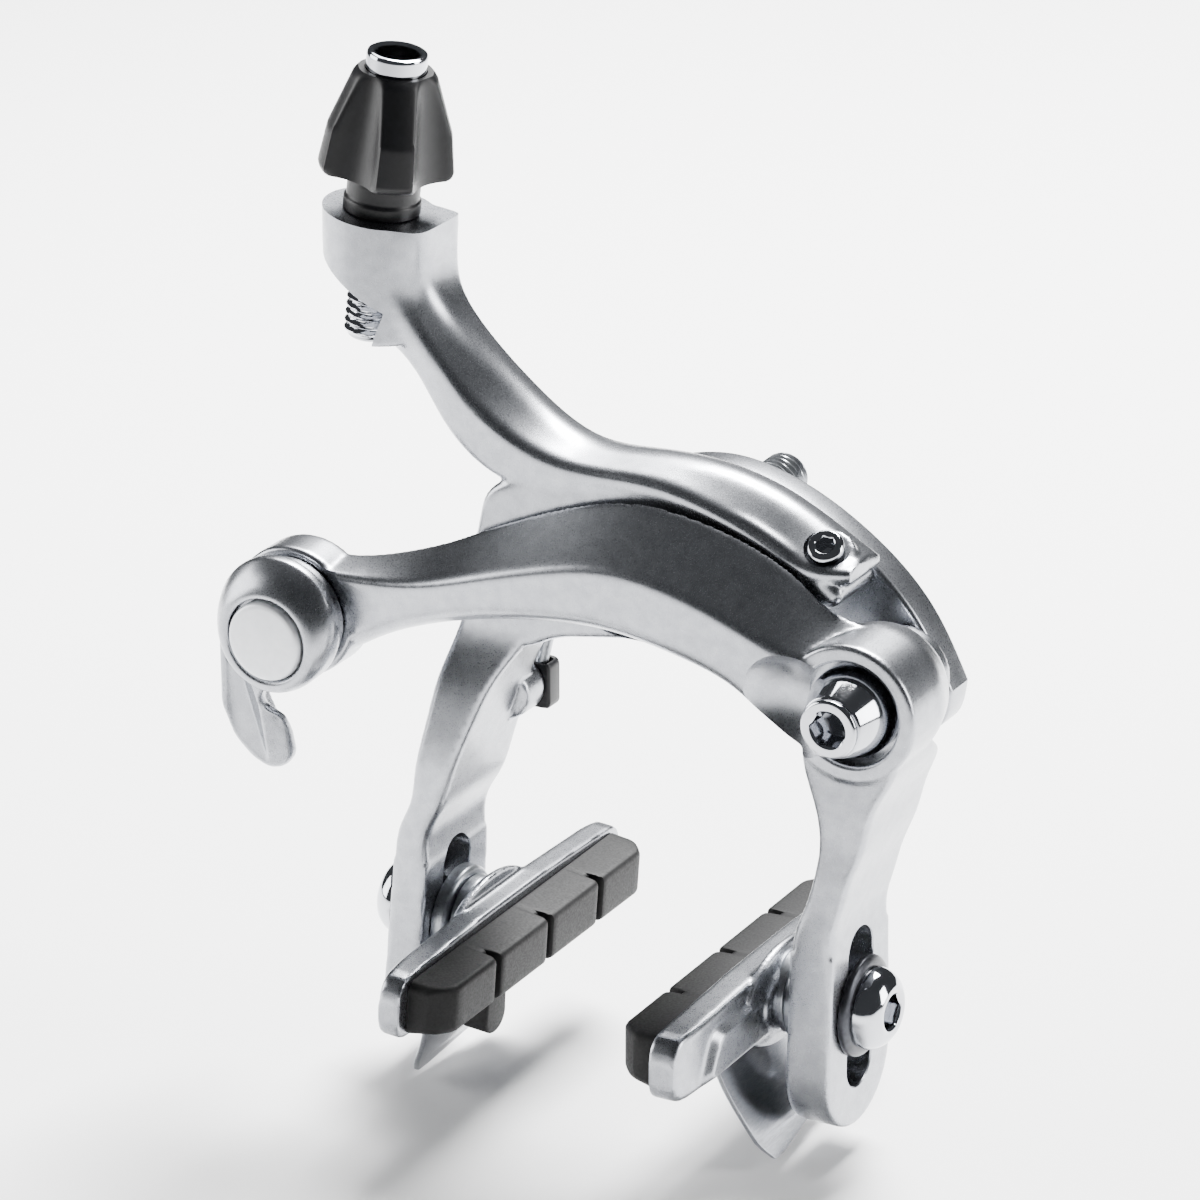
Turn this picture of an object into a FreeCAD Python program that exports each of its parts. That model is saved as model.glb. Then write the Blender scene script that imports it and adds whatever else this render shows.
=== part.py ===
import FreeCAD, Part
import math
import os

# Dual-pivot rim brake caliper, in millimetres.
# Origin: on the centre bolt's axis, in the rear mounting face. +X is the rider's right seen from the front,
# +Y runs rearwards along the centre bolt and +Z is up.

V = FreeCAD.Vector
alongX = V(1, 0, 0)
alongY = V(0, 1, 0)
alongZ = V(0, 0, 1)

runningGap = 0.05                # radial clearance of every turning or sliding fit
faceGap = 0.2                    # gap between flat faces of bodies that move past each other

# Pivots
boltRadius = 3.0                 # M6 centre bolt
boltWaistRadius = 2.6            # undercut between the stud and the shank, inside the washer
studLength = 22.0                # free length behind the mounting face
washerThickness = 4.0
bracketThickness = 5.0
bracketBack = -washerThickness
bracketFront = bracketBack - bracketThickness
hubBack = bracketFront - 0.3     # rear face of both arms' hubs
hubFront = -18.5
nutBack = -14.5
sideX = 31.8
sideZ = -8.0
sideBossRadius = 8.4
sideBossFront = -25.0
sideRecessRadius = 6.3
sideRecessFloor = -22.0

# Slotted plates at the lower ends of the arms
plateMiddleY = -15.0
plateWidth = 16.5
plateFrontY = plateMiddleY - plateWidth / 2
plateRearY = plateMiddleY + plateWidth / 2
plateTopZ = -36.0
tongueTopZ = -41.0               # above this the plate blends into the limb
plateRoundZ = -56.55
leftPlate = (-30.0, -25.2)       # outer and inner face of the left plate, before it leans
rightPlate = (23.6, 29.2)        # inner and outer face of the right plate
slotWidth = 6.3
leftLeanAngle = 4.0              # degrees
slotTopZ = -39.2
slotBottomZ = -59.8

# Brake shoes
shoeZ = -49.3
shoeBoltRadius = 2.5
padLength = 50.0
padMiddleY = -14.65
padTopZ = -46.4
padBottomZ = -53.5
holderLength = 54.0
holderTopZ = -45.1
holderBottomZ = -53.9

# Cable adjuster: its axis leans towards the centre
seatPoint = V(-35.1, -15.0, 38.9)
leanAngle = math.radians(7.4)
adjusterAxis = V(math.sin(leanAngle), 0, math.cos(leanAngle))
barrelRadius = 3.6
threadRadius = 3.0
casingRadius = 2.6
cableRadius = 1.0

# Centring screw, set obliquely in the tip of the rear arm
screwHead = V(24.4, -16.6, 8.6)
screwAxis = V(0.10, -0.62, 0.78).normalize()
screwRadius = 1.5
screwHeadRadius = 2.2
screwHeadHeight = 1.8
screwLength = 9.5

# Quick release
camX = -42.2
camZ = -9.9
camRadius = 5.0
eccentricity = 2.0
releaseRadius = 8.2
capDrop = 1.5                    # the cap sits this far below the lever's axis
armEndFront = -25.0
armEndBack = -19.6


def cylinder(radius, start, end):
    """A cylinder between two points of its axis."""
    axis = end - start
    return Part.makeCylinder(radius, axis.Length, start, axis)


def cylinderY(radius, x, z, yLow, yHigh):
    return cylinder(radius, V(x, yLow, z), V(x, yHigh, z))


def cylinderX(radius, y, z, xLow, xHigh):
    return cylinder(radius, V(xLow, y, z), V(xHigh, y, z))


def cone(radiusStart, radiusEnd, start, end):
    axis = end - start
    return Part.makeCone(radiusStart, radiusEnd, axis.Length, start, axis)


def box(low, high):
    return Part.makeBox(high[0] - low[0], high[1] - low[1], high[2] - low[2], V(*low))


def hexPrism(acrossFlats, start, end):
    """A hexagonal prism between two points of its axis."""
    axis = end - start
    side = axis.cross(alongX)
    if side.Length < 0.5 * axis.Length:
        side = axis.cross(alongY)
    side.normalize()
    up = FreeCAD.Vector(axis).normalize().cross(side)
    reach = acrossFlats / math.sqrt(3)
    turns = [math.radians(60 * step) for step in range(7)]
    corners = [start + side * (reach * math.cos(turn)) + up * (reach * math.sin(turn)) for turn in turns]
    return Part.Face(Part.makePolygon(corners)).extrude(axis)


def slab(outline, yLow, yHigh):
    """A plate of constant thickness along Y from an (x, z) outline."""
    corners = [V(x, yLow, z) for x, z in outline]
    face = Part.Face(Part.makePolygon(corners + corners[:1]))
    return face.extrude(V(0, yHigh - yLow, 0))


def loft(sections):
    """A solid with straight sides between closed polygons that all have the same number of corners."""
    wires = []
    for section in sections:
        corners = [V(*corner) for corner in section]
        wires.append(Part.makePolygon(corners + corners[:1]))
    return Part.makeLoft(wires, True, True)


def revolved(profile, start, axis):
    """Turns a (radius, height) profile about an axis; heights are measured from the start point."""
    corners = [V(radius, 0, height) for radius, height in profile]
    solid = Part.Face(Part.makePolygon(corners + corners[:1])).revolve(V(0, 0, 0), alongZ, 360)
    solid.Placement = FreeCAD.Placement(start, FreeCAD.Rotation(alongZ, axis))
    return solid


def padArm(stations):
    """The limb from a hub down to its slotted plate. Each station is (z, inner x at the front, outer x at the
    front, inner x at the rear, outer x at the rear, front y, rear y)."""
    sections = []
    for z, innerFront, outerFront, innerRear, outerRear, front, rear in stations:
        sections.append([(innerFront, front, z), (outerFront, front, z),
                         (outerRear, rear, z), (innerRear, rear, z)])
    return loft(sections)


def slottedPlate(xLow, xHigh):
    """The flat lower end of an arm: a tongue that faces sideways and widens towards its round end."""
    neck = 0.7
    outline = [(plateFrontY + neck, tongueTopZ), (plateFrontY, plateRoundZ), (plateRearY, plateRoundZ),
               (plateRearY - neck, tongueTopZ)]
    corners = [V(xLow, y, z) for y, z in outline]
    tongue = Part.Face(Part.makePolygon(corners + corners[:1])).extrude(alongX * (xHigh - xLow))
    return tongue.fuse(cylinderX(plateWidth / 2, plateMiddleY, plateRoundZ, xLow, xHigh))


def leftLean(shape):
    """The left plate and its shoe lean out a little at the bottom, about the top of the plate."""
    shape.rotate(V(-27.2, plateMiddleY, plateTopZ), alongY, leftLeanAngle)
    return shape


def slot(xLow, xHigh):
    """The tool that cuts the height slot."""
    half = slotWidth / 2
    upper = slotTopZ - half
    lower = slotBottomZ + half
    tool = box((xLow, plateMiddleY - half, lower), (xHigh, plateMiddleY + half, upper))
    for z in (upper, lower):
        tool = tool.fuse(cylinderX(half, plateMiddleY, z, xLow, xHigh))
    return tool


def export(name, shape):
    shape = shape.removeSplitter()
    if not shape.isValid() or len(shape.Solids) < 1:
        print("CHECK", name, shape.isValid(), len(shape.Solids))
    os.makedirs("parts", exist_ok=True)
    shape.exportStep("parts/" + name + ".step")


# Fixed body: bracket, bolts and bushes

def makeBracket():
    """The plate that ties the two pivots together, with an arched lower edge."""
    top = Part.BSplineCurve()
    top.interpolate([V(-6.0, 0, 9.0), V(0, 0, 11.3), V(6.0, 0, 12.4), V(12.6, 0, 11.5), V(23.4, 0, 6.5),
                     V(32.6, 0, -1.8), V(37.2, 0, -10.0)])
    corner = Part.Arc(V(37.2, 0, -10.0), V(35.8, 0, -14.6), V(31.3, 0, -16.4)).toShape()
    arch = Part.Arc(V(31.3, 0, -16.4), V(15.0, 0, -11.5), V(0, 0, -8.0)).toShape()
    left = Part.Arc(V(0, 0, -8.0), V(-10.2, 0, 0), V(-6.0, 0, 9.0)).toShape()
    plate = Part.Face(Part.Wire([top.toShape(), corner, arch, left])).extrude(alongY * bracketThickness)
    plate.translate(V(0, bracketFront, 0))
    collarSeat = cylinderY(5.6, 0, 0, bracketBack - 2.0, bracketBack)
    centreHole = cylinderY(boltRadius + runningGap, 0, 0, bracketFront, bracketBack)
    sideHole = cylinderY(boltRadius + runningGap, sideX, sideZ, bracketFront, bracketBack)
    return plate.cut(collarSeat).cut(centreHole).cut(sideHole)


def makeCentreBolt():
    chamfer = 0.8
    shank = cylinderY(boltRadius, 0, 0, hubFront + 0.3, bracketBack)
    shank = shank.fuse(cylinderY(boltWaistRadius, 0, 0, bracketBack, 0))
    shank = shank.fuse(cylinderY(boltRadius, 0, 0, 0, studLength - chamfer))
    tip = cone(boltRadius, boltRadius - chamfer, V(0, studLength - chamfer, 0), V(0, studLength, 0))
    collar = cylinderY(5.5, 0, 0, bracketBack - 2.0, bracketBack)
    return shank.fuse(tip).fuse(collar)


def makeCentreNut():
    body = cylinderY(6.8, 0, 0, nutBack - 1.0, nutBack)
    body = body.fuse(hexPrism(10.0, V(0, nutBack - 1.0, 0), V(0, hubFront + 0.3, 0)))
    return body.cut(cylinderY(boltRadius + runningGap, 0, 0, -30, 0))


def makeSleeve(radius, x, z, yLow, yHigh):
    return cylinderY(radius, x, z, yLow, yHigh).cut(cylinderY(boltRadius + runningGap, x, z, yLow, yHigh))


def makeMountingWasher():
    """A dished washer whose rim sits on the frame or fork."""
    profile = [(boltRadius + runningGap, -washerThickness), (6.2, -washerThickness), (7.6, -1.2), (7.6, 0),
               (boltRadius + runningGap, 0)]
    return revolved(profile, V(0, 0, 0), alongY)


def makeSideBolt():
    headFront = -30.0
    shoulder = -29.2
    shank = cylinderY(boltRadius, sideX, sideZ, shoulder, bracketBack - 0.4)
    head = cylinderY(3.55, sideX, sideZ, headFront, shoulder)
    socket = hexPrism(4.0, V(sideX, headFront, sideZ), V(sideX, headFront + 3.5, sideZ))
    return shank.fuse(head).cut(socket)


def makeSideCollar():
    """The conical collar under the side pivot's head."""
    back = sideRecessFloor - faceGap
    height = 29.2 + back
    bore = boltRadius + runningGap
    profile = [(bore, 0), (5.5, 0), (5.5, 1.9), (3.7, height), (bore, height)]
    return revolved(profile, V(sideX, back, sideZ), alongY * -1)


# Rear arm: adjuster horn, hub, centring tip and left shoe limb

def makeHorn():
    """The curved limb from the adjuster past the hub to the screw's tip. Each station gives its top edge,
    front ridge and lower edge as (x, z), then the front reach of shoulder, ridge and lower edge."""
    stations = [((-27.7, 41.5), (-33.4, 37.63), (-38.0, 34.5), (-18.5, -21.3, -20.5)),
                ((-27.6, 38.6), (-33.0, 34.0), (-38.0, 30.5), (-18.5, -21.3, -20.5)),
                ((-27.4, 31.0), (-30.1, 28.3), (-33.5, 25.0), (-17.0, -20.3, -19.0)),
                ((-24.4, 26.2), (-26.7, 24.1), (-29.8, 21.3), (-15.0, -19.5, -18.0)),
                ((-18.0, 20.3), (-20.9, 18.1), (-25.5, 14.5), (-13.5, -19.0, -17.5)),
                ((-9.0, 15.0), (-11.5, 13.6), (-16.0, 9.0), (-13.5, -19.0, -18.3)),
                ((-1.0, 14.7), (-3.0, 12.9), (-5.0, 9.5), (-13.5, -19.0, -18.3)),
                ((4.5, 14.9), (4.1, 12.8), (3.0, 9.8), (-13.5, -19.0, -18.3)),
                ((9.5, 14.5), (10.0, 11.4), (9.0, 8.8), (-13.5, -19.0, -18.3)),
                ((15.7, 13.0), (16.0, 9.1), (14.8, 6.8), (-13.5, -19.0, -18.3)),
                ((21.3, 10.5), (21.2, 6.7), (20.0, 4.6), (-13.5, -19.0, -18.3)),
                ((25.5, 8.2), (25.0, 6.1), (24.0, 3.8), (-13.5, -19.0, -18.3)),
                ((28.0, 6.7), (28.06, 6.04), (28.2, 4.5), (-13.5, -18.0, -17.6))]
    sections = []
    for (topX, topZ), (ridgeX, ridgeZ), (lowX, lowZ), (shoulderY, ridgeY, lowY) in stations:
        fall = 1.2
        if topZ in (41.5, 6.7):                        # the two end faces are flat
            fall = 0.0
            ridgeX = 0.5 * (topX + lowX)
            ridgeZ = 0.5 * (topZ + lowZ)
        sections.append([(topX, hubBack, topZ - fall), (topX, shoulderY, topZ), (ridgeX, ridgeY, ridgeZ),
                         (lowX, lowY, lowZ), (lowX, hubBack, lowZ)])
    return loft(sections)


def makeAdjusterBoss():
    """The upright boss at the end of the horn."""
    return cylinder(6.8, V(-35.3, plateMiddleY, 24.0), V(-35.3, plateMiddleY, seatPoint.z + 3.0))


def bossTop():
    """The tool that cuts horn and boss square to the adjuster."""
    return cylinder(25.0, onAdjuster(0), onAdjuster(8.0))


def bossUnderside():
    """The tool that slopes the boss's underside, so that the threaded stem shows below it."""
    return slab([(-50.0, 39.6), (-31.6, 28.2), (-36.0, 15.0), (-50.0, 15.0)], -30, 0)


def makeRearArm():
    web = [(-21.2, 0.5), (-19.6, 8.0), (-9.0, 12.6), (-3.3, 12.6), (2.1, 12.8), (8.4, 12.4), (15.7, 10.4),
           (21.0, 7.8), (25.3, 5.4), (27.5, 3.6), (27.0, 1.9), (23.0, 0.0), (19.0, -4.5), (10.0, -8.6),
           (0.0, -7.5), (-10.0, -9.3), (-14.0, -11.6), (-23.8, -11.6), (-21.8, -5.0)]
    stations = [(-5.0, -9.0, -21.8, -9.0, -21.8, hubFront, hubBack),
                (-11.6, -14.6, -23.8, -14.6, -23.8, -18.8, hubBack),
                (-16.5, -17.8, -25.3, -17.8, -25.3, -20.3, -8.4),
                (-22.0, -20.0, -26.3, -19.8, -26.3, -21.6, -7.4),
                (-28.5, -22.2, -27.4, -21.9, -27.4, -22.6, -7.2),
                (-32.8, -23.8, -28.1, -23.6, -28.1, -22.6, -7.2),
                (plateTopZ - 0.3, -25.3, -29.6, -25.3, -29.6, -22.6, -7.3),
                (tongueTopZ - 0.3, -25.62, -30.3, -25.62, -30.3, -22.6, -7.4)]
    horn = makeHorn().fuse(makeAdjusterBoss()).cut(bossTop()).cut(bossUnderside())
    arm = slab(web, hubFront, hubBack).fuse(horn).fuse(padArm(stations))
    arm = arm.fuse(leftLean(slottedPlate(*leftPlate))).cut(leftLean(slot(-31.5, -19.0)))
    springBoss = cylinderY(3.4, -21.4, -21.4, -11.0, -6.4)
    screwSeat = cylinder(3.3, screwHead - screwAxis * 5.0, screwHead - screwAxis * 1.9)
    arm = arm.fuse(springBoss).fuse(screwSeat)
    arm = arm.cut(cylinderY(5.0 + runningGap, 0, 0, hubFront - 1, hubBack + 1))
    arm = arm.cut(cylinderY(7.4, 0, 0, -20.0, nutBack + faceGap))
    arm = arm.cut(cylinder(threadRadius + runningGap, onAdjuster(-20), onAdjuster(2)))
    arm = arm.cut(cylinder(screwRadius + runningGap, screwHead - screwAxis * (screwLength + 0.3), screwHead))
    return arm.cut(cylinder(2.6, screwHead - screwAxis * 1.9, screwHead + screwAxis * 6))


def makeCentringScrew():
    head = cylinder(screwHeadRadius, screwHead - screwAxis * screwHeadHeight, screwHead)
    shoulder = screwHead - screwAxis * screwHeadHeight
    shank = cylinder(screwRadius, screwHead - screwAxis * screwLength, shoulder)
    socket = hexPrism(2.0, screwHead - screwAxis * 1.4, screwHead)
    return head.fuse(shank).cut(socket)


def makeSpring():
    """The return spring's leg: an arc round the bracket's hub, then a straight run to the slider."""
    wireRadius = 0.9
    sweepRadius = 14.5
    y = -5.4
    slider = V(-19.9, y, -21.4)
    startTurn = 140
    reach = math.hypot(slider.x, slider.z)
    endTurn = 360 + math.degrees(math.atan2(slider.z, slider.x) - math.acos(sweepRadius / reach))
    startPoint, tangentPoint = [V(sweepRadius * math.cos(turn), y, sweepRadius * math.sin(turn))
                                for turn in (math.radians(startTurn), math.radians(endTurn))]
    travel = V(-startPoint.z, 0, startPoint.x)
    section = Part.Face(Part.Wire([Part.makeCircle(wireRadius, startPoint, travel)]))
    arc = section.revolve(V(0, y, 0), V(0, -1, 0), endTurn - startTurn)
    return arc.fuse(cylinder(wireRadius, tangentPoint, slider))


def makeSlider():
    """The hard-wearing block that the spring's leg rests in."""
    block = box((-22.9, -6.4, -24.6), (-17.6, -3.6, -18.4))
    return block.cut(box((-21.0, -6.35, -25.0), (-18.0, -4.4, -18.0)))


# Adjuster

def onAdjuster(height):
    return seatPoint + adjusterAxis * height


def makeAdjusterSeat():
    ring = cylinder(4.6, onAdjuster(0.05), onAdjuster(4.6))
    return ring.cut(cylinder(threadRadius + 0.15, onAdjuster(-1), onAdjuster(6)))


def makeAdjusterBolt():
    """The barrel: a casing socket above, a long threaded stem below and a bore for the cable."""
    top = 19.8
    shoulder = 10.0
    foot = -16.0
    body = cylinder(barrelRadius, onAdjuster(shoulder), onAdjuster(top))
    body = body.fuse(cylinder(threadRadius, onAdjuster(foot), onAdjuster(shoulder)))
    body = body.cut(cylinder(casingRadius, onAdjuster(shoulder + 1.0), onAdjuster(top + 1)))
    return body.cut(cylinder(cableRadius, onAdjuster(foot - 1), onAdjuster(top)))


def makeKnob():
    """The four-winged knob, which narrows towards the top; a flute runs up each side."""
    foot = 4.8
    top = 17.6
    wingTurn = 38
    profile = [(0, foot), (7.8, foot), (8.0, foot + 0.8), (7.3, foot + 5.4), (4.9, top - 0.5), (4.5, top),
               (0, top)]
    knob = revolved(profile, seatPoint, adjusterAxis)
    sideways = adjusterAxis.cross(alongY)
    for quarter in range(4):
        turn = math.radians(90 * quarter + 45 + wingTurn)
        outward = alongY * math.cos(turn) + sideways * math.sin(turn)
        flute = cone(6.4, 3.4, onAdjuster(foot - 1) + outward * 12.3, onAdjuster(top + 1) + outward * 7.6)
        knob = knob.cut(flute)
    knob = knob.cut(cylinder(barrelRadius + runningGap, onAdjuster(foot + 4.0), onAdjuster(top + 1)))
    return knob.cut(cylinder(threadRadius + runningGap, onAdjuster(foot - 1), onAdjuster(top)))


# Front arm: cable end, bridge, side pivot boss and right shoe limb

def makeFrontArm():
    """Each bridge station is (x, top z, ridge z, bottom z, ridge y, back y)."""
    bridge = [(-42.0, -3.2, -3.4, -18.0, -25.8, armEndBack), (-36.5, -3.0, -3.6, -15.0, -25.8, armEndBack),
              (-31.0, -1.7, -3.5, -11.7, -25.8, -19.4), (-24.5, 0.7, -2.7, -8.9, -25.8, -19.2),
              (-17.0, 4.4, -0.6, -6.8, -25.8, -19.3), (-9.0, 7.9, 1.8, -5.4, -25.8, -19.3),
              (0.0, 10.5, 3.6, -4.9, -25.8, -19.3), (9.0, 10.2, 2.7, -6.3, -25.8, -19.3),
              (17.0, 8.1, 0.2, -9.0, -25.8, -19.3), (23.0, 5.0, -1.9, -13.0, -25.6, -19.3),
              (26.5, 2.4, -2.6, -14.5, -25.3, -19.0), (30.5, 0.7, -3.2, -15.5, -25.0, -18.0),
              (34.0, -0.4, -4.2, -15.2, -25.0, -17.5), (37.0, -3.4, -6.0, -13.5, -25.0, -17.5)]
    sections = []
    for x, top, ridge, bottom, front, back in bridge:
        sections.append([(x, back, top), (x, front, ridge), (x, max(front, -25.0), bottom + 1.6),
                         (x, -23.0, bottom), (x, back, bottom + 0.4)])
    stations = [(-8.0, 26.0, 38.5, 26.0, 38.5, sideBossFront, -16.2),
                (-12.5, 25.8, 38.2, 25.8, 38.2, sideBossFront, -15.5),
                (-16.5, 26.0, 36.8, 26.0, 36.8, -24.6, -10.5),
                (-21.0, 27.0, 34.4, 26.6, 34.6, -23.9, -8.6),
                (-26.0, 27.4, 33.0, 27.2, 32.8, -23.4, -7.4),
                (-30.5, 26.5, 31.2, 26.3, 31.0, -22.9, -7.2),
                (-34.6, 25.3, 30.0, 25.2, 29.9, -22.7, -7.3),
                (-37.7, 24.1, 29.2, 24.1, 29.2, -22.6, -7.4),
                (tongueTopZ - 0.3, 23.7, 29.2, 23.7, 29.2, -22.6, -7.4)]
    hub = [(0, 0), (sideBossRadius, 0), (sideBossRadius, 8.0), (7.3, 11.8), (5.6, 12.4), (5.6, 15.7),
           (0, 15.7)]
    arm = loft(sections)
    arm = arm.fuse(cylinderY(releaseRadius, camX, camZ, armEndFront, armEndBack))
    arm = arm.fuse(revolved(hub, V(sideX, sideBossFront, sideZ), alongY))
    arm = arm.fuse(padArm(stations)).fuse(slottedPlate(*rightPlate))
    arm = arm.cut(slot(20.0, 31.0))
    arm = arm.cut(cylinderY(4.0 + runningGap, sideX, sideZ, -30, hubBack + 1))
    arm = arm.cut(cylinderY(sideRecessRadius, sideX, sideZ, -30, sideRecessFloor))
    arm = arm.cut(cylinderY(camRadius + runningGap, camX, camZ, -30, armEndBack))
    return arm.cut(cylinderY(releaseRadius + 0.6, camX, camZ, -30, armEndFront))


# Quick release and cable anchor

def makeReleaseCam():
    """The cam shaft that turns in the arm's end; the anchor bolt sits off its centre."""
    shaft = cylinderY(camRadius, camX, camZ, armEndFront - faceGap, armEndBack)
    return shaft.cut(cylinderY(2.5 + runningGap, camX, camZ - eccentricity, armEndFront - 1, armEndBack))


def makeReleaseLever():
    """A disc with a recessed neck and a leaning dome, and a paddle that hangs from its outer side."""
    back = armEndFront - faceGap
    lever = revolved([(0, 0), (7.3, 0), (7.3, 1.8), (8.1, 2.2), (8.1, 3.6), (0, 3.6)],
                     V(camX, back, camZ), alongY * -1)
    rings = [(8.1, 3.6, 0.0), (7.6, 5.0, 0.5), (6.4, 6.3, 1.2)]
    wires = [Part.Wire([Part.makeCircle(radius, V(camX, back - height, camZ - drop), alongY)])
             for radius, height, drop in rings]
    lever = lever.fuse(Part.makeLoft(wires, True, True))
    paddle = [(-42.6, -17.6), (-44.4, -19.6), (-44.4, -21.2), (-42.9, -22.6), (-42.3, -25.0),
              (-42.3, -28.4), (-43.6, -30.2), (-45.4, -30.5), (-47.2, -29.0), (-48.8, -26.0),
              (-49.7, -21.0), (-50.0, -12.3), (-49.4, -8.5), (-45.0, -12.0)]
    lever = lever.fuse(slab(paddle, back - 4.4, back - 2.9))
    lever = lever.cut(cylinderY(5.2, camX, camZ - capDrop, back - 7, back - 4.4))
    lever = lever.cut(cylinderY(4.6, camX, camZ - capDrop, back - 4.5, back - 0.6))
    return lever.cut(cylinderY(2.5 + runningGap, camX, camZ - eccentricity, back - 1, back + 1))


def makeReleaseCap():
    back = armEndFront - faceGap
    profile = [(0, 4.5), (5.0, 4.5), (5.0, 6.3), (4.5, 6.7), (0, 6.9)]
    return revolved(profile, V(camX, back, camZ - capDrop), alongY * -1)


def makeAnchorBolt():
    """The bolt whose flat head lies in the cam's hollow and whose tail clamps the cable."""
    back = armEndFront - faceGap
    tail = -10.0
    head = cylinderY(3.0, camX, camZ - eccentricity, back - 2.8, back - 0.7)
    return head.fuse(cylinderY(2.5, camX, camZ - eccentricity, back - 0.7, tail))


def makeAnchorWasher():
    """The washer that grips the cable, with a groove across it."""
    washer = cylinderY(5.0, camX, camZ - eccentricity, -15.6, -13.9)
    washer = washer.cut(cylinderY(2.5 + runningGap, camX, camZ - eccentricity, -16, -13))
    groove = cylinder(0.8, V(camX + 4.0, -15.6, -25), V(camX + 4.0, -15.6, 5))
    return washer.cut(groove)


def makeAnchorPlate():
    """The plain plate on the other side of the cable."""
    plate = cylinderY(5.0, camX, camZ - eccentricity, armEndBack + 0.1, -15.6)
    plate = plate.cut(cylinderY(2.5 + runningGap, camX, camZ - eccentricity, armEndBack, -15))
    groove = cylinder(0.8, V(camX + 4.0, -15.6, -25), V(camX + 4.0, -15.6, 5))
    return plate.cut(groove)


def makeAnchorNut():
    nut = hexPrism(8.0, V(camX, -13.9, camZ - eccentricity), V(camX, -10.6, camZ - eccentricity))
    return nut.cut(cylinderY(2.5 + runningGap, camX, camZ - eccentricity, -14, -10))


# Brake shoes: side is -1 on the left and 1 on the right, and depths grow away from the wheel

def rubberPad(side, face, back):
    """The rubber block: three grooves across its face and sloping ends."""
    start = padMiddleY - padLength / 2
    end = padMiddleY + padLength / 2
    slope = 1.6
    outline = [(face, start + slope), (back, start), (back, end), (face, end - slope)]
    corners = [V(x, y, padBottomZ) for x, y in outline]
    block = Part.Face(Part.makePolygon(corners + corners[:1])).extrude(alongZ * (padTopZ - padBottomZ))
    grooveDepth = 2.0
    grooveHalf = 0.5
    for step in (1, 2, 3):
        y = start + padLength * step / 4
        low = min(face, face + side * grooveDepth)
        block = block.cut(box((low, y - grooveHalf, padBottomZ - 1),
                              (low + grooveDepth, y + grooveHalf, padTopZ + 1)))
    lugY = padMiddleY - 10.0
    lugZ = padBottomZ - 2.5
    near, far = sorted((face + side * 1.4, back - side * 0.2))
    stem = box((near, lugY - 2.2, lugZ), (far, lugY + 2.2, padBottomZ + 0.3))
    return block.fuse(stem).fuse(cylinderX(2.4, lugY, lugZ, near, far))


def shoeHolder(side, front, back):
    """The cast holder: a long tray with rounded ends and a raised block where the bolt enters."""
    start = padMiddleY - holderLength / 2
    end = padMiddleY + holderLength / 2
    low, high = sorted((front, back))
    tray = box((low, start + 1.2, holderBottomZ), (high, end - 1.2, holderTopZ))
    middleZ = (holderTopZ + holderBottomZ) / 2
    half = (holderTopZ - holderBottomZ) / 2
    for y in (start, end):
        inward = 1.2 if y == start else -1.2
        tip = box((low, min(y, y + inward), middleZ - half + 1.0),
                  (high, max(y, y + inward), middleZ + half - 1.0))
        tray = tray.fuse(tip)
    boltHole = cylinderX(shoeBoltRadius + runningGap, plateMiddleY, shoeZ,
                         *sorted((front + side * 0.6, back + side)))
    screwHole = cylinderX(1.2, padMiddleY - 17.0, shoeZ, low - 1, high + 1)
    return tray.cut(boltHole).cut(screwHole)


def padScrew(front, back):
    low, high = sorted((front, back))
    return cylinderX(1.2, padMiddleY - 17.0, shoeZ, low + 0.1, high - 0.1)


def wheelGuide(side, root, tip):
    """The curved sheet fin under the holder, which leads the wheel between the pads. Each station is
    (share of the drop, front y, rear y)."""
    thickness = 0.9
    drop = 13.2
    stations = [(0.0, -31.0, -3.5), (0.25, -29.6, -4.0), (0.55, -27.8, -4.5), (0.82, -26.3, -6.8),
                (0.9, -25.5, -13.0), (1.0, -24.2, -21.6)]
    sections = []
    for share, front, rear in stations:
        x = root + (tip - root) * share ** 1.6
        z = holderBottomZ - drop * share
        inner = x - side * thickness
        sections.append([(x, front, z), (x, rear, z), (inner, rear, z), (inner, front, z)])
    return loft(sections)


def dishedWashers(side, front, back):
    """A convex and a concave washer in one stack; the ball face between them lets the shoe tilt."""
    low, high = sorted((front, back))
    middle = (low + high) / 2
    stack = cylinderX(5.2, plateMiddleY, shoeZ, min(front, middle), max(front, middle))
    stack = stack.fuse(cylinderX(6.0, plateMiddleY, shoeZ, min(back, middle), max(back, middle)))
    return stack.cut(cylinderX(shoeBoltRadius + runningGap, plateMiddleY, shoeZ, low - 1, high + 1))


def outerWasher(side, plate):
    bore = shoeBoltRadius + runningGap
    profile = [(bore, 0), (6.2, 0), (6.2, 0.8), (5.2, 1.2), (bore, 1.2)]
    return revolved(profile, V(plate + side * 0.05, plateMiddleY, shoeZ), alongX * side)


def shoeBolt(side, plate, tipX):
    """A domed socket-head bolt."""
    seat = plate + side * 1.25
    start = V(seat, plateMiddleY, shoeZ)
    profile = [(0, 0), (5.0, 0), (5.0, 0.8), (4.2, 2.4), (3.0, 3.2), (0, 3.2)]
    head = revolved(profile, start, alongX * side)
    shank = cylinderX(shoeBoltRadius, plateMiddleY, shoeZ, *sorted((seat, tipX)))
    socket = hexPrism(4.0, start + alongX * (side * 0.6), start + alongX * (side * 4.0))
    return head.fuse(shank).cut(socket)


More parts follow.
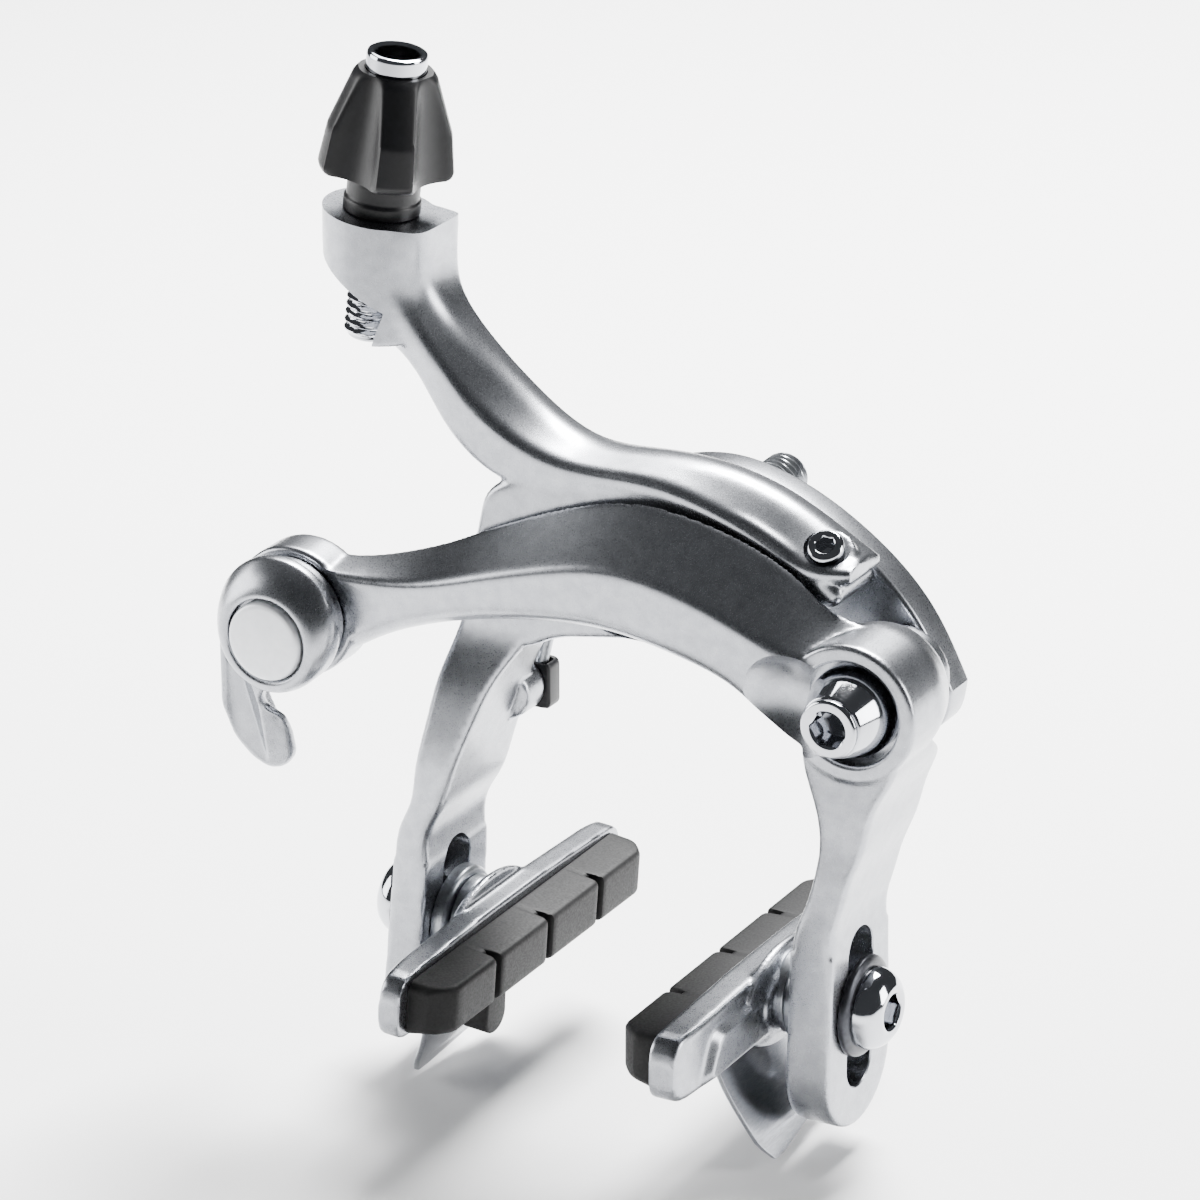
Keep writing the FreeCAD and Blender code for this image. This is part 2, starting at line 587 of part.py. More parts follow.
def exportShoe(name, side, face, rubberBack, holderBack, plateInner, plateOuter):
    """Writes one shoe and the bolt and washers that hold it in its plate."""
    shapes = {
        "_pad": rubberPad(side, face, rubberBack),
        "_holder": shoeHolder(side, rubberBack, holderBack),
        "_pad_screw": padScrew(rubberBack, holderBack),
        "_wheel_guide": wheelGuide(side, holderBack - side * 0.9, plateInner - side * 0.6),
        "_dished_washers": dishedWashers(side, holderBack + side * 0.1, plateInner - side * 0.05),
        "_outer_washer": outerWasher(side, plateOuter),
        "_shoe_bolt": shoeBolt(side, plateOuter, rubberBack + side * 0.8)}
    for ending, shape in shapes.items():
        export(name + ending, leftLean(shape) if side < 0 else shape)


export("pivot_bracket", makeBracket())
export("centre_bolt", makeCentreBolt())
export("centre_nut", makeCentreNut())
export("centre_bush", makeSleeve(5.0, 0, 0, nutBack, bracketFront))
export("mounting_washer", makeMountingWasher())
export("side_bolt", makeSideBolt())
export("side_collar", makeSideCollar())
export("side_bush", makeSleeve(4.0, sideX, sideZ, sideRecessFloor - faceGap, bracketFront))
export("rear_arm", makeRearArm())
export("return_spring", makeSpring())
export("spring_slider", makeSlider())
export("adjuster_seat", makeAdjusterSeat())
export("adjuster_bolt", makeAdjusterBolt())
export("adjuster_knob", makeKnob())
export("centring_screw", makeCentringScrew())
export("front_arm", makeFrontArm())
export("release_cam", makeReleaseCam())
export("release_lever", makeReleaseLever())
export("release_cap", makeReleaseCap())
export("anchor_bolt", makeAnchorBolt())
export("anchor_plate", makeAnchorPlate())
export("anchor_washer", makeAnchorWasher())
export("anchor_nut", makeAnchorNut())
exportShoe("left", -1, -11.9, -17.3, -21.1, leftPlate[1], leftPlate[0])
exportShoe("right", 1, 9.7, 15.2, 19.6, *rightPlate)
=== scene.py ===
import bmesh
import bpy
import math
import numpy as np
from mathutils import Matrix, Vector


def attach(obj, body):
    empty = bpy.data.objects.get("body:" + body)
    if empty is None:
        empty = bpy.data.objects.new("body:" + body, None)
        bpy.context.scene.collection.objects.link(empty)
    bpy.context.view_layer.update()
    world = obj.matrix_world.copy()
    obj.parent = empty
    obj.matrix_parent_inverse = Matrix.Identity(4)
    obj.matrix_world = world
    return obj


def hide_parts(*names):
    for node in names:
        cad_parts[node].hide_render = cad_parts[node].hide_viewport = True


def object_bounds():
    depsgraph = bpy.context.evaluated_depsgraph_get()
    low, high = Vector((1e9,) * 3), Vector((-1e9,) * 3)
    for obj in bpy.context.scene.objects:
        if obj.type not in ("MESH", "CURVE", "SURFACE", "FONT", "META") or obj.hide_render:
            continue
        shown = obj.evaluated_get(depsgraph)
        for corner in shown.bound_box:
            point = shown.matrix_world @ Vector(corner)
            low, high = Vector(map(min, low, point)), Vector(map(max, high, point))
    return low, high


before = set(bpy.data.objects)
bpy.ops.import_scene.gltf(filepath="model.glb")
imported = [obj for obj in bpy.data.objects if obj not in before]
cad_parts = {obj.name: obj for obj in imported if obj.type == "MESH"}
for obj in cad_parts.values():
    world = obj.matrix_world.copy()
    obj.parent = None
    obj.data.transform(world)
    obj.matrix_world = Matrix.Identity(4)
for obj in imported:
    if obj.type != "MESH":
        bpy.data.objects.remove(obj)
cadLow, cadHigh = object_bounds()      # the box of the CAD model, before any piece is added

# Dual-pivot rim brake. Shapes are worked out in millimetres and stored in metres.
# +X is towards the side pivot, +Y rearwards along the centre bolt and +Z up.

alongX = np.array([1.0, 0.0, 0.0])
alongY = np.array([0.0, 1.0, 0.0])


# shape tools: every one returns (points in mm, faces)

def unit(vector):
    return np.asarray(vector, float) / np.linalg.norm(vector)


def rounded(points, radius, steps=5):
    # every corner of a closed outline becomes the quadratic curve between the two points that lie
    # radius away from it on its sides
    points = np.asarray(points, float)
    before = np.roll(points, 1, axis=-2) - points
    after = np.roll(points, -1, axis=-2) - points
    lengthBefore = np.linalg.norm(before, axis=-1, keepdims=True) + 1e-9
    lengthAfter = np.linalg.norm(after, axis=-1, keepdims=True) + 1e-9
    reach = np.broadcast_to(np.asarray(radius, float), points.shape[-2:-1])[:, None]
    reach = np.minimum(reach, 0.47 * np.minimum(lengthBefore, lengthAfter))
    t = np.linspace(0, 1, steps)[:, None]
    start = (points + before / lengthBefore * reach)[..., None, :]
    end = (points + after / lengthAfter * reach)[..., None, :]
    curve = (1 - t) ** 2 * start + 2 * t * (1 - t) * points[..., None, :] + t ** 2 * end
    return curve.reshape(points.shape[:-2] + (-1, points.shape[-1]))


def splineThrough(rows, count):
    # natural cubic spline through the rows, spaced by their distance, read at evenly spaced places
    rows = np.asarray(rows, float)
    flat = rows.reshape(len(rows), -1)
    gaps = np.linalg.norm(np.diff(flat, axis=0), axis=1)
    places = np.concatenate([[0], np.cumsum(gaps)])
    inner = np.arange(1, len(rows) - 1)
    matrix = np.eye(len(rows))
    matrix[inner, inner - 1] = gaps[:-1]
    matrix[inner, inner] = 2 * (gaps[:-1] + gaps[1:])
    matrix[inner, inner + 1] = gaps[1:]
    slopes = np.diff(flat, axis=0) / gaps[:, None]
    right = np.zeros_like(flat)
    right[inner] = 6 * np.diff(slopes, axis=0)
    bends = np.linalg.solve(matrix, right)
    at = np.linspace(0, places[-1], count)
    k = np.clip(np.searchsorted(places, at, "right") - 1, 0, len(gaps) - 1)
    a = ((places[k + 1] - at) / gaps[k])[:, None]
    b = 1 - a
    curve = a * flat[k] + b * flat[k + 1]
    curve += ((a ** 3 - a) * bends[k] + (b ** 3 - b) * bends[k + 1]) * (gaps[k] ** 2)[:, None] / 6
    return curve.reshape((count,) + rows.shape[1:])


def skin(points, ring=False):
    # joins a grid of points[row, column] whose columns close on themselves; the end rows are capped,
    # or joined in a ring
    rows, columns = points.shape[:2]
    row = np.arange(rows if ring else rows - 1)[:, None]
    column = np.arange(columns)[None, :]
    nextRow = (row + 1) % rows
    nextColumn = (column + 1) % columns
    quads = np.stack([row * columns + column, row * columns + nextColumn,
                      nextRow * columns + nextColumn, nextRow * columns + column], -1)
    faces = quads.reshape(-1, 4).tolist()
    if not ring:
        faces.append(list(range(columns))[::-1])
        faces.append(list(range((rows - 1) * columns, rows * columns)))
    return points.reshape(-1, 3), faces


def basis(axis):
    along = unit(axis)
    side = unit(np.cross(along, alongX if abs(along[0]) < 0.9 else alongY))
    return side, np.cross(along, side), along


def turned(profile, start, axis, steps=72, ring=False, pitch=1.0, depth=0.0):
    # radius and height carried round an axis. A row's third value blends its circle into a hexagon,
    # and its fourth is its share of a screw thread, a wave that climbs one pitch a turn
    rows = np.zeros((len(profile), 4))
    for i, row in enumerate(profile):
        rows[i, :len(row)] = row
    turn = np.linspace(0, 2 * np.pi, steps, endpoint=False)
    hexagon = 1 / np.cos((turn + np.pi / 6) % (np.pi / 3) - np.pi / 6)
    radius = rows[:, :1] * (1 + rows[:, 2:3] * (hexagon - 1))
    wave = 0.5 + 0.5 * np.cos(2 * np.pi * rows[:, 1:2] / pitch - turn)
    radius = radius - depth * rows[:, 3:4] * wave
    side, up, along = basis(axis)
    around = np.cos(turn)[:, None] * side + np.sin(turn)[:, None] * up
    points = np.asarray(start, float) + radius[..., None] * around + rows[:, 1, None, None] * along
    return skin(points, ring)


def softTurned(profile, radius, start, axis, steps=72, ring=False):
    # the same with the profile's corners rounded; on an open profile the two ends stay as they are
    profile = [tuple(row) + (0.0,) * (3 - len(row)) for row in profile]
    reach = np.broadcast_to(np.asarray(radius, float), len(profile)).copy()
    if not ring:
        reach[[0, -1]] = 0
    return turned(rounded(profile, reach), start, axis, steps, ring)


def denser(profile, spacing):
    # more rows along a profile's straight lines, no further apart than the spacing
    profile = np.asarray(profile, float)
    pieces = []
    for first, second in zip(profile[:-1], profile[1:]):
        count = max(1, int(np.linalg.norm(second[:2] - first[:2]) / spacing))
        pieces.append(first + (second - first) * np.arange(count)[:, None] / count)
    pieces.append(profile[-1:])
    return np.concatenate(pieces)


def inset(outline, distance):
    # moves each point of a closed outline inwards along the bisector of its sides
    before = outline - np.roll(outline, 1, axis=0)
    after = np.roll(outline, -1, axis=0) - outline
    before /= np.linalg.norm(before, axis=1, keepdims=True) + 1e-9
    after /= np.linalg.norm(after, axis=1, keepdims=True) + 1e-9
    along = before + after
    along /= np.linalg.norm(along, axis=1, keepdims=True) + 1e-9
    normal = np.stack([-along[:, 1], along[:, 0]], -1)
    x, y = outline.T
    area = np.sum(x * np.roll(y, -1) - np.roll(x, -1) * y)
    return outline + normal * distance * np.sign(area)


def plate(outline, low, high, edge, across):
    # a flat shape between two levels whose rim follows a quarter circle at each face; across is the
    # axis it is thick along
    outline = np.asarray(outline, float)
    bend = np.linspace(0, np.pi / 2, 5)
    insets = np.concatenate([edge * (1 - np.sin(bend)), edge * (1 - np.sin(bend))[::-1]])
    levels = np.concatenate([low + edge * (1 - np.cos(bend)), (high - edge * (1 - np.cos(bend)))[::-1]])
    rows = []
    for distance, level in zip(insets, levels):
        ring = inset(outline, distance)
        thick = np.full(len(ring), level)
        rows.append(np.stack([thick, ring[:, 0], ring[:, 1]] if across == "x" else
                             [ring[:, 0], thick, ring[:, 1]], -1))
    return skin(np.array(rows))


def slotOutline(half, low, high, middle, steps=24):
    # a stadium: two half circles joined by straight sides
    turn = np.linspace(0, np.pi, steps)
    top = np.stack([middle + half * np.cos(turn), high - half + half * np.sin(turn)], -1)
    bottom = np.stack([middle - half * np.cos(turn), low + half - half * np.sin(turn)], -1)
    return np.concatenate([top, bottom])


def flared(outline, low, high, lip, across):
    # a cutting tool that opens out by the lip at both faces of the wall it goes through
    outline = np.asarray(outline, float)
    bend = np.linspace(0, np.pi / 2, 6)
    levels = np.concatenate([[low - 3], [low], low + lip * np.sin(bend)[1:]])
    insets = np.concatenate([[-lip], -lip * (1 - np.sin(bend))])
    levels = np.concatenate([levels, (low + high) - levels[::-1]])
    insets = np.concatenate([insets, insets[::-1]])
    rows = []
    for distance, level in zip(insets, levels):
        ring = inset(outline, distance)
        thick = np.full(len(ring), level)
        rows.append(np.stack([thick, ring[:, 0], ring[:, 1]] if across == "x" else
                             [ring[:, 0], thick, ring[:, 1]], -1))
    return skin(np.array(rows))


def swept(sections, corner, count, steps=6):
    # rounds each section's corners and carries the sections along a smooth path
    return skin(splineThrough(rounded(sections, corner, steps), count))


def moved(shape, change):
    points, faces = shape
    return change(points), faces


# mesh tools

def makeMesh(name, shapes):
    points, faces, offset = [], [], 0
    for shapePoints, shapeFaces in shapes:
        points.append(shapePoints * 0.001)
        faces += [[index + offset for index in face] for face in shapeFaces]
        offset += len(shapePoints)
    mesh = bpy.data.meshes.new(name)
    mesh.from_pydata(np.concatenate(points), [], faces)
    work = bmesh.new()
    work.from_mesh(mesh)
    bmesh.ops.remove_doubles(work, verts=work.verts, dist=2e-7)
    bmesh.ops.dissolve_degenerate(work, edges=work.edges, dist=1e-7)
    bmesh.ops.recalc_face_normals(work, faces=work.faces)
    work.to_mesh(mesh)
    work.free()
    piece = bpy.data.objects.new(name, mesh)
    bpy.context.scene.collection.objects.link(piece)
    return piece


def applyModifiers(piece):
    bpy.context.view_layer.update()
    made = bpy.data.meshes.new_from_object(piece.evaluated_get(bpy.context.evaluated_depsgraph_get()))
    piece.modifiers.clear()
    piece.data = made


def forge(piece, voxel, passes):
    # joins overlapping shells into one skin and softens it, as a forging die leaves it
    remesh = piece.modifiers.new("Join", "REMESH")
    remesh.mode = "VOXEL"
    remesh.voxel_size = voxel * 0.001
    smooth = piece.modifiers.new("Soften", "SMOOTH")
    smooth.factor = 0.5
    smooth.iterations = passes
    applyModifiers(piece)


def cut(piece, tools):
    # takes each tool's volume away
    for tool in tools:
        cutter = makeMesh("tool", [tool])
        boolean = piece.modifiers.new("Cut", "BOOLEAN")
        boolean.operation = "DIFFERENCE"
        boolean.solver = "MANIFOLD"
        boolean.object = cutter
        applyModifiers(piece)
        bpy.data.objects.remove(cutter)


def shade(piece, angle=32):
    piece.data.shade_smooth()
    piece.data.set_sharp_from_angle(angle=math.radians(angle))


def finish(piece, body, nodes, material, angle=32):
    shade(piece, angle)
    piece.data.materials.clear()
    piece.data.materials.append(material)
    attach(piece, body)
    if nodes:
        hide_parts(*nodes)
    return piece


# finishes

def linear(code):
    # sRGB hex to linear colour
    values = np.array([int(code[i:i + 2], 16) for i in (1, 3, 5)]) / 255
    return tuple(np.where(values <= 0.04045, values / 12.92, ((values + 0.055) / 1.055) ** 2.4)) + (1.0,)


def addNode(tree, kind, settings=None, links=None):
    # adds a node, sets its sockets or properties, and joins its sockets to (node, output)
    node = tree.nodes.new(kind)
    for key, value in (settings or {}).items():
        if key in node.inputs:
            node.inputs[key].default_value = value
        else:
            setattr(node, key, value)
    for key, (source, output) in (links or {}).items():
        tree.links.new(source.outputs[output], node.inputs[key])
    return node


def makeFinish(name, look):
    # mottled colour, uneven gloss and a fine grain, each from noise with cells of a real size in mm
    material = bpy.data.materials.new(name)
    material.use_nodes = True
    tree = material.node_tree
    tree.nodes.clear()
    place = addNode(tree, "ShaderNodeTexCoord")
    stretch = addNode(tree, "ShaderNodeMapping", {"Scale": look.get("stretch", (1, 1, 1))},
                      {"Vector": (place, "Object")})
    mottle = addNode(tree, "ShaderNodeTexNoise",
                     {"Scale": 1000 / look["mottleSize"], "Detail": 4.0, "Roughness": 0.55},
                     {"Vector": (stretch, "Vector")})
    grain = addNode(tree, "ShaderNodeTexNoise",
                    {"Scale": 1000 / look["grainSize"], "Detail": 3.0, "Roughness": 0.6},
                    {"Vector": (stretch, "Vector")})
    colour = addNode(tree, "ShaderNodeValToRGB", {}, {"Fac": (mottle, "Fac")})
    colour.color_ramp.elements[0].position = 0.35
    colour.color_ramp.elements[0].color = linear(look["colours"][0])
    colour.color_ramp.elements[1].position = 0.65
    colour.color_ramp.elements[1].color = linear(look["colours"][1])
    gloss = addNode(tree, "ShaderNodeMapRange",
                    {"From Min": 0.3, "From Max": 0.7,
                     "To Min": look["roughness"][0], "To Max": look["roughness"][1]},
                    {"Value": (grain, "Fac")})
    bump = addNode(tree, "ShaderNodeBump",
                   {"Strength": look["bumpShare"], "Distance": look["bumpHeight"] * 0.001},
                   {"Height": (grain, "Fac")})
    settings = {"Metallic": look["metallic"]}
    settings.update(look.get("shader", {}))
    shader = addNode(tree, "ShaderNodeBsdfPrincipled", settings,
                     {"Base Color": (colour, "Color"), "Roughness": (gloss, "Result"),
                      "Normal": (bump, "Normal")})
    addNode(tree, "ShaderNodeOutputMaterial", {}, {"Surface": (shader, "BSDF")})
    return material


finishes = {
    # forged aluminium under satin silver lacquer: bright, soft-edged reflections and a fine sparkle
    "satin_silver_lacquer": {
        "colours": ("#94969b", "#a0a2a7"), "mottleSize": 1.6, "grainSize": 0.16, "roughness": (0.25, 0.33),
        "bumpShare": 0.10, "bumpHeight": 0.010, "metallic": 1.0,
        "shader": {"Coat Weight": 0.2, "Coat Roughness": 0.12}},
    # decorative chrome plate: near-mirror with faint polishing haze
    "polished_chrome": {
        "colours": ("#b4b6bb", "#bec0c5"), "mottleSize": 3.0, "grainSize": 0.25, "roughness": (0.05, 0.10),
        "bumpShare": 0.05, "bumpHeight": 0.004, "metallic": 1.0},
    # zinc-plated steel: greyer and uneven, with a dull shine
    "zinc_plated_steel": {
        "colours": ("#8f9297", "#a4a7ab"), "mottleSize": 0.9, "grainSize": 0.12, "roughness": (0.26, 0.40),
        "bumpShare": 0.20, "bumpHeight": 0.012, "metallic": 1.0},
    # bright stamped sheet steel: rolling lines along the strip
    "bright_sheet_steel": {
        "colours": ("#8e9095", "#9ea0a5"), "mottleSize": 1.2, "grainSize": 0.5, "roughness": (0.16, 0.26),
        "bumpShare": 0.15, "bumpHeight": 0.008, "metallic": 1.0,
        "stretch": (6, 1, 6)},
    # acetal bearing plastic: plain, slightly waxy
    "bearing_acetal": {
        "colours": ("#1a1a1c", "#232326"), "mottleSize": 2.0, "grainSize": 0.2, "roughness": (0.38, 0.5),
        "bumpShare": 0.15, "bumpHeight": 0.01, "metallic": 0.0},
    # pale silver paint on moulded plastic: almost matt, without mirror reflections
    "pale_silver_paint": {
        "colours": ("#d4d6d9", "#dcdee1"), "mottleSize": 1.2, "grainSize": 0.12, "roughness": (0.42, 0.52),
        "bumpShare": 0.12, "bumpHeight": 0.008, "metallic": 0.65},
    # glass-filled nylon, moulded: black with a soft satin sheen and a faint spark-eroded texture
    "moulded_black_nylon": {
        "colours": ("#08080a", "#0d0d10"), "mottleSize": 1.5, "grainSize": 0.22, "roughness": (0.34, 0.46),
        "bumpShare": 0.2, "bumpHeight": 0.015, "metallic": 0.0,
        "shader": {"Specular IOR Level": 0.3}},
    # brake rubber: black compound, dull, with the mould's fine stipple
    "brake_rubber": {
        "colours": ("#070708", "#0c0c0d"), "mottleSize": 1.8, "grainSize": 0.3, "roughness": (0.5, 0.68),
        "bumpShare": 0.25, "bumpHeight": 0.02, "metallic": 0.0,
        "shader": {"Specular IOR Level": 0.25}},
    # steel washer: its dark colour is a painted dark reflection of polished steel, with a low metallic shine
    "steel_with_painted_dark_reflection": {
        "colours": ("#2c2d31", "#3a3b40"), "mottleSize": 1.0, "grainSize": 0.15, "roughness": (0.28, 0.42),
        "bumpShare": 0.2, "bumpHeight": 0.01, "metallic": 0.8},
}
made = {name: makeFinish(name, look) for name, look in finishes.items()}
silver = made["satin_silver_lacquer"]
chrome = made["polished_chrome"]
zinc = made["zinc_plated_steel"]
print("finishes made:", len(made))

# shared measures

centre = {"hubFront": -18.5, "hubBack": -9.3, "bracketFront": -9.0, "bracketBack": -4.0}
side = {"x": 31.8, "z": -8.0, "front": -25.0, "recessRadius": 6.3}
plateSet = {"middleY": -15.0, "half": 8.25, "topZ": -36.0, "tongueTop": -40.5, "roundZ": -56.55, "neck": 0.7,
            "edge": 0.45,
            "slotHalf": 3.15, "slotTop": -39.2, "slotBottom": -59.8, "slotLip": 0.15, "lean": 4.0}
release = {"x": -42.2, "z": -9.9, "front": -25.0}
adjuster = {"seat": np.array([-35.1, -15.0, 38.9]), "lean": math.radians(7.4)}
adjusterAxis = np.array([math.sin(adjuster["lean"]), 0, math.cos(adjuster["lean"])])
screw = {"head": np.array([24.4, -16.6, 8.6]), "axis": unit([0.10, -0.62, 0.78])}


def onAdjuster(height):
    return adjuster["seat"] + adjusterAxis * height


def leanOut(points):
    # the left plate and its shoe turn a little outwards about the top of the plate
    turn = math.radians(plateSet["lean"])
    pivot = np.array([-27.2, 0, plateSet["topZ"]])
    x, y, z = (points - pivot).T
    return pivot + np.stack([x * math.cos(turn) + z * math.sin(turn), y,
                             z * math.cos(turn) - x * math.sin(turn)], -1)


def tongue(xLow, xHigh):
    # the slotted plate: straight sides that widen downwards to a half circle
    half, neck = plateSet["half"], plateSet["neck"]
    turn = np.linspace(0, np.pi, 40)
    middle = plateSet["middleY"]
    bottom = np.stack([middle - half * np.cos(turn), plateSet["roundZ"] - half * np.sin(turn)], -1)
    top = np.array([[middle + half - neck, plateSet["tongueTop"]],
                    [middle - half + neck, plateSet["tongueTop"]]])
    return plate(np.concatenate([bottom, top]), xLow, xHigh, plateSet["edge"], "x")


def slotTool(xLow, xHigh):
    outline = slotOutline(plateSet["slotHalf"], plateSet["slotBottom"], plateSet["slotTop"],
                          plateSet["middleY"])
    return flared(outline, xLow, xHigh, plateSet["slotLip"], "x")


def limb(stations, corner, count=70):
    # each station: z, inner and outer x at the front, inner and outer x at the rear, front y, rear y
    sections = [[(a, front, z), (b, front, z), (d, rear, z), (c, rear, z)]
                for z, a, b, c, d, front, rear in stations]
    return swept(sections, corner, count)


def rod(radius, start, end, steps=48):
    start, end = np.asarray(start, float), np.asarray(end, float)
    length = np.linalg.norm(end - start)
    return turned([(0, 0), (radius, 0), (radius, length), (0, length)], start, end - start, steps)


def countersunk(radius, mouth, axis, depth, lip):
    # a blind hole whose mouth opens out by the lip; the axis points into the metal
    bend = np.linspace(0, np.pi / 2, 6)
    outside = -8
    curve = [(radius + lip * (1 - math.sin(b)), lip * (1 - math.cos(b))) for b in bend]
    rows = [(0, outside), (radius + lip, outside)] + curve + [(radius, depth), (0, depth)]
    return turned(rows, mouth, axis)


# rear arm: horn with the adjuster boss, hub web, screw tip and left limb

rearArm = {
    # each station: top edge, front ridge and lower edge as (x, z), then the front reach of the three
    "hornStations": [((-27.7, 41.5), (-33.2, 37.5), (-38.0, 34.5), (-18.5, -21.3, -20.5)),
                     ((-27.6, 38.6), (-33.0, 34.0), (-38.0, 30.5), (-18.5, -21.3, -20.5)),
                     ((-27.4, 31.0), (-30.1, 28.3), (-33.5, 25.0), (-17.0, -20.3, -19.0)),
                     ((-24.4, 26.2), (-26.7, 24.1), (-29.8, 21.3), (-15.0, -19.5, -18.0)),
                     ((-18.0, 20.3), (-20.9, 18.1), (-25.5, 14.5), (-13.5, -19.0, -17.5)),
                     ((-9.0, 15.0), (-11.5, 13.6), (-16.0, 9.0), (-13.5, -19.0, -18.3)),
                     ((-1.0, 14.7), (-3.0, 12.9), (-5.0, 9.5), (-13.5, -19.0, -18.3)),
                     ((4.5, 14.9), (4.1, 12.8), (3.0, 9.8), (-13.5, -19.0, -18.3)),
                     ((9.5, 14.5), (10.0, 11.4), (9.0, 8.8), (-13.5, -19.0, -18.3)),
                     ((15.7, 13.0), (16.0, 9.1), (14.8, 6.8), (-13.5, -19.0, -18.3)),
                     ((21.3, 10.5), (21.2, 6.7), (20.0, 4.6), (-13.5, -19.0, -18.3)),
                     ((25.5, 8.2), (25.0, 6.1), (24.0, 3.8), (-13.5, -19.0, -18.3)),
                     ((28.0, 6.7), (28.6, 6.4), (28.2, 4.5), (-13.5, -18.0, -17.6))],
    "fall": 1.2,
    "web": [(-21.2, 0.5), (-19.6, 8.0), (-9.0, 12.6), (-3.3, 12.6), (2.1, 12.8), (8.4, 12.4), (15.7, 10.4),
            (21.0, 7.8), (25.3, 5.4), (27.5, 3.6), (27.0, 1.9), (23.0, 0.0), (19.0, -4.5), (10.0, -8.6),
            (0.0, -7.5), (-10.0, -9.3), (-14.0, -11.6), (-23.8, -11.6), (-21.8, -5.0)],
    "limb": [(-5.0, -9.0, -21.8, -9.0, -21.8, -18.5, -9.3),
             (-11.6, -14.6, -23.8, -14.6, -23.8, -18.8, -9.3),
             (-16.5, -17.8, -25.3, -17.8, -25.3, -20.3, -8.4),
             (-22.0, -20.0, -26.3, -19.8, -26.3, -21.6, -7.4),
             (-28.5, -22.2, -27.4, -21.9, -27.4, -22.6, -7.2),
             (-32.8, -23.6, -28.1, -23.4, -28.1, -22.6, -7.2),
             (-36.3, -25.3, -29.6, -25.3, -29.6, -22.6, -7.3),
             (-41.3, -25.62, -30.3, -25.62, -30.3, -22.6, -7.4)],
    "bossRadius": 6.8, "bossX": -35.3, "underside": ((-50.0, 39.6), (-31.6, 28.2)),
    "plate": (-30.0, -25.2), "webEdge": 0.9, "voxel": 0.34, "passes": 4,
}


def hornShape():
    back = centre["hubBack"]
    sections = []
    for (topX, topZ), (ridgeX, ridgeZ), (lowX, lowZ), (shoulderY, ridgeY, lowY) in rearArm["hornStations"]:
        sections.append([(topX, back, topZ - rearArm["fall"]), (topX, shoulderY, topZ),
                         (ridgeX, ridgeY, ridgeZ), (lowX, lowY, lowZ), (lowX, back, lowZ)])
    return swept(sections, (1.0, 2.0, 1.5, 0.8, 1.0), 140)


def bossShape():
    # an upright cylinder that is cut to length later by two planes
    turn = np.linspace(0, 2 * np.pi, 72, endpoint=False)
    x = rearArm["bossX"] + rearArm["bossRadius"] * np.cos(turn)
    y = plateSet["middleY"] + rearArm["bossRadius"] * np.sin(turn)
    return skin(np.array([np.stack([x, y, np.full(72, z)], -1) for z in (24.0, 42.0)]))


def undersideTool():
    # everything below the sloping underside of the boss
    (xa, za), (xb, zb) = rearArm["underside"]
    outline = np.array([(xa, za), (xb, zb), (-36.0, 15.0), (-50.0, 15.0)])
    return plate(outline, -30.0, 0.0, 0.3, "y")


def makeRearArm():
    web = rounded(rearArm["web"], 2.5, 6)
    front = centre["hubFront"]
    shapes = [plate(web, front, centre["hubBack"], rearArm["webEdge"], "y"), hornShape(), bossShape(),
              limb(rearArm["limb"], 1.0), moved(tongue(*rearArm["plate"]), leanOut),
              softTurned([(0, 0), (3.4, 0), (3.4, 4.6), (0, 4.6)], 0.6, (-21.4, -11.0, -21.4), alongY),
              softTurned([(0, 0), (3.3, 0), (3.3, 3.1), (0, 3.1)], 0.5, screw["head"] - screw["axis"] * 5.0,
                         screw["axis"])]
    arm = makeMesh("rear_arm_forging", shapes)
    forge(arm, rearArm["voxel"], rearArm["passes"])
    cut(arm, [rod(25.0, onAdjuster(0), onAdjuster(9), 96), undersideTool(),
              countersunk(5.05, (0, front, 0), alongY, 12, 0.01),
              countersunk(7.4, (0, front, 0), alongY, 4.2, 0.4),
              rod(3.05, onAdjuster(-20), onAdjuster(3)),
              rod(1.55, screw["head"] - screw["axis"] * 9.8, screw["head"]),
              countersunk(2.6, screw["head"] - screw["axis"] * 0.2, -screw["axis"], 1.7, 0.3),
              moved(slotTool(*rearArm["plate"]), leanOut)])
    return finish(arm, "rear_arm", ["rear_arm"], silver)


makeRearArm()
print("rear arm made")

# front arm: release end, bridge, side pivot boss and right limb

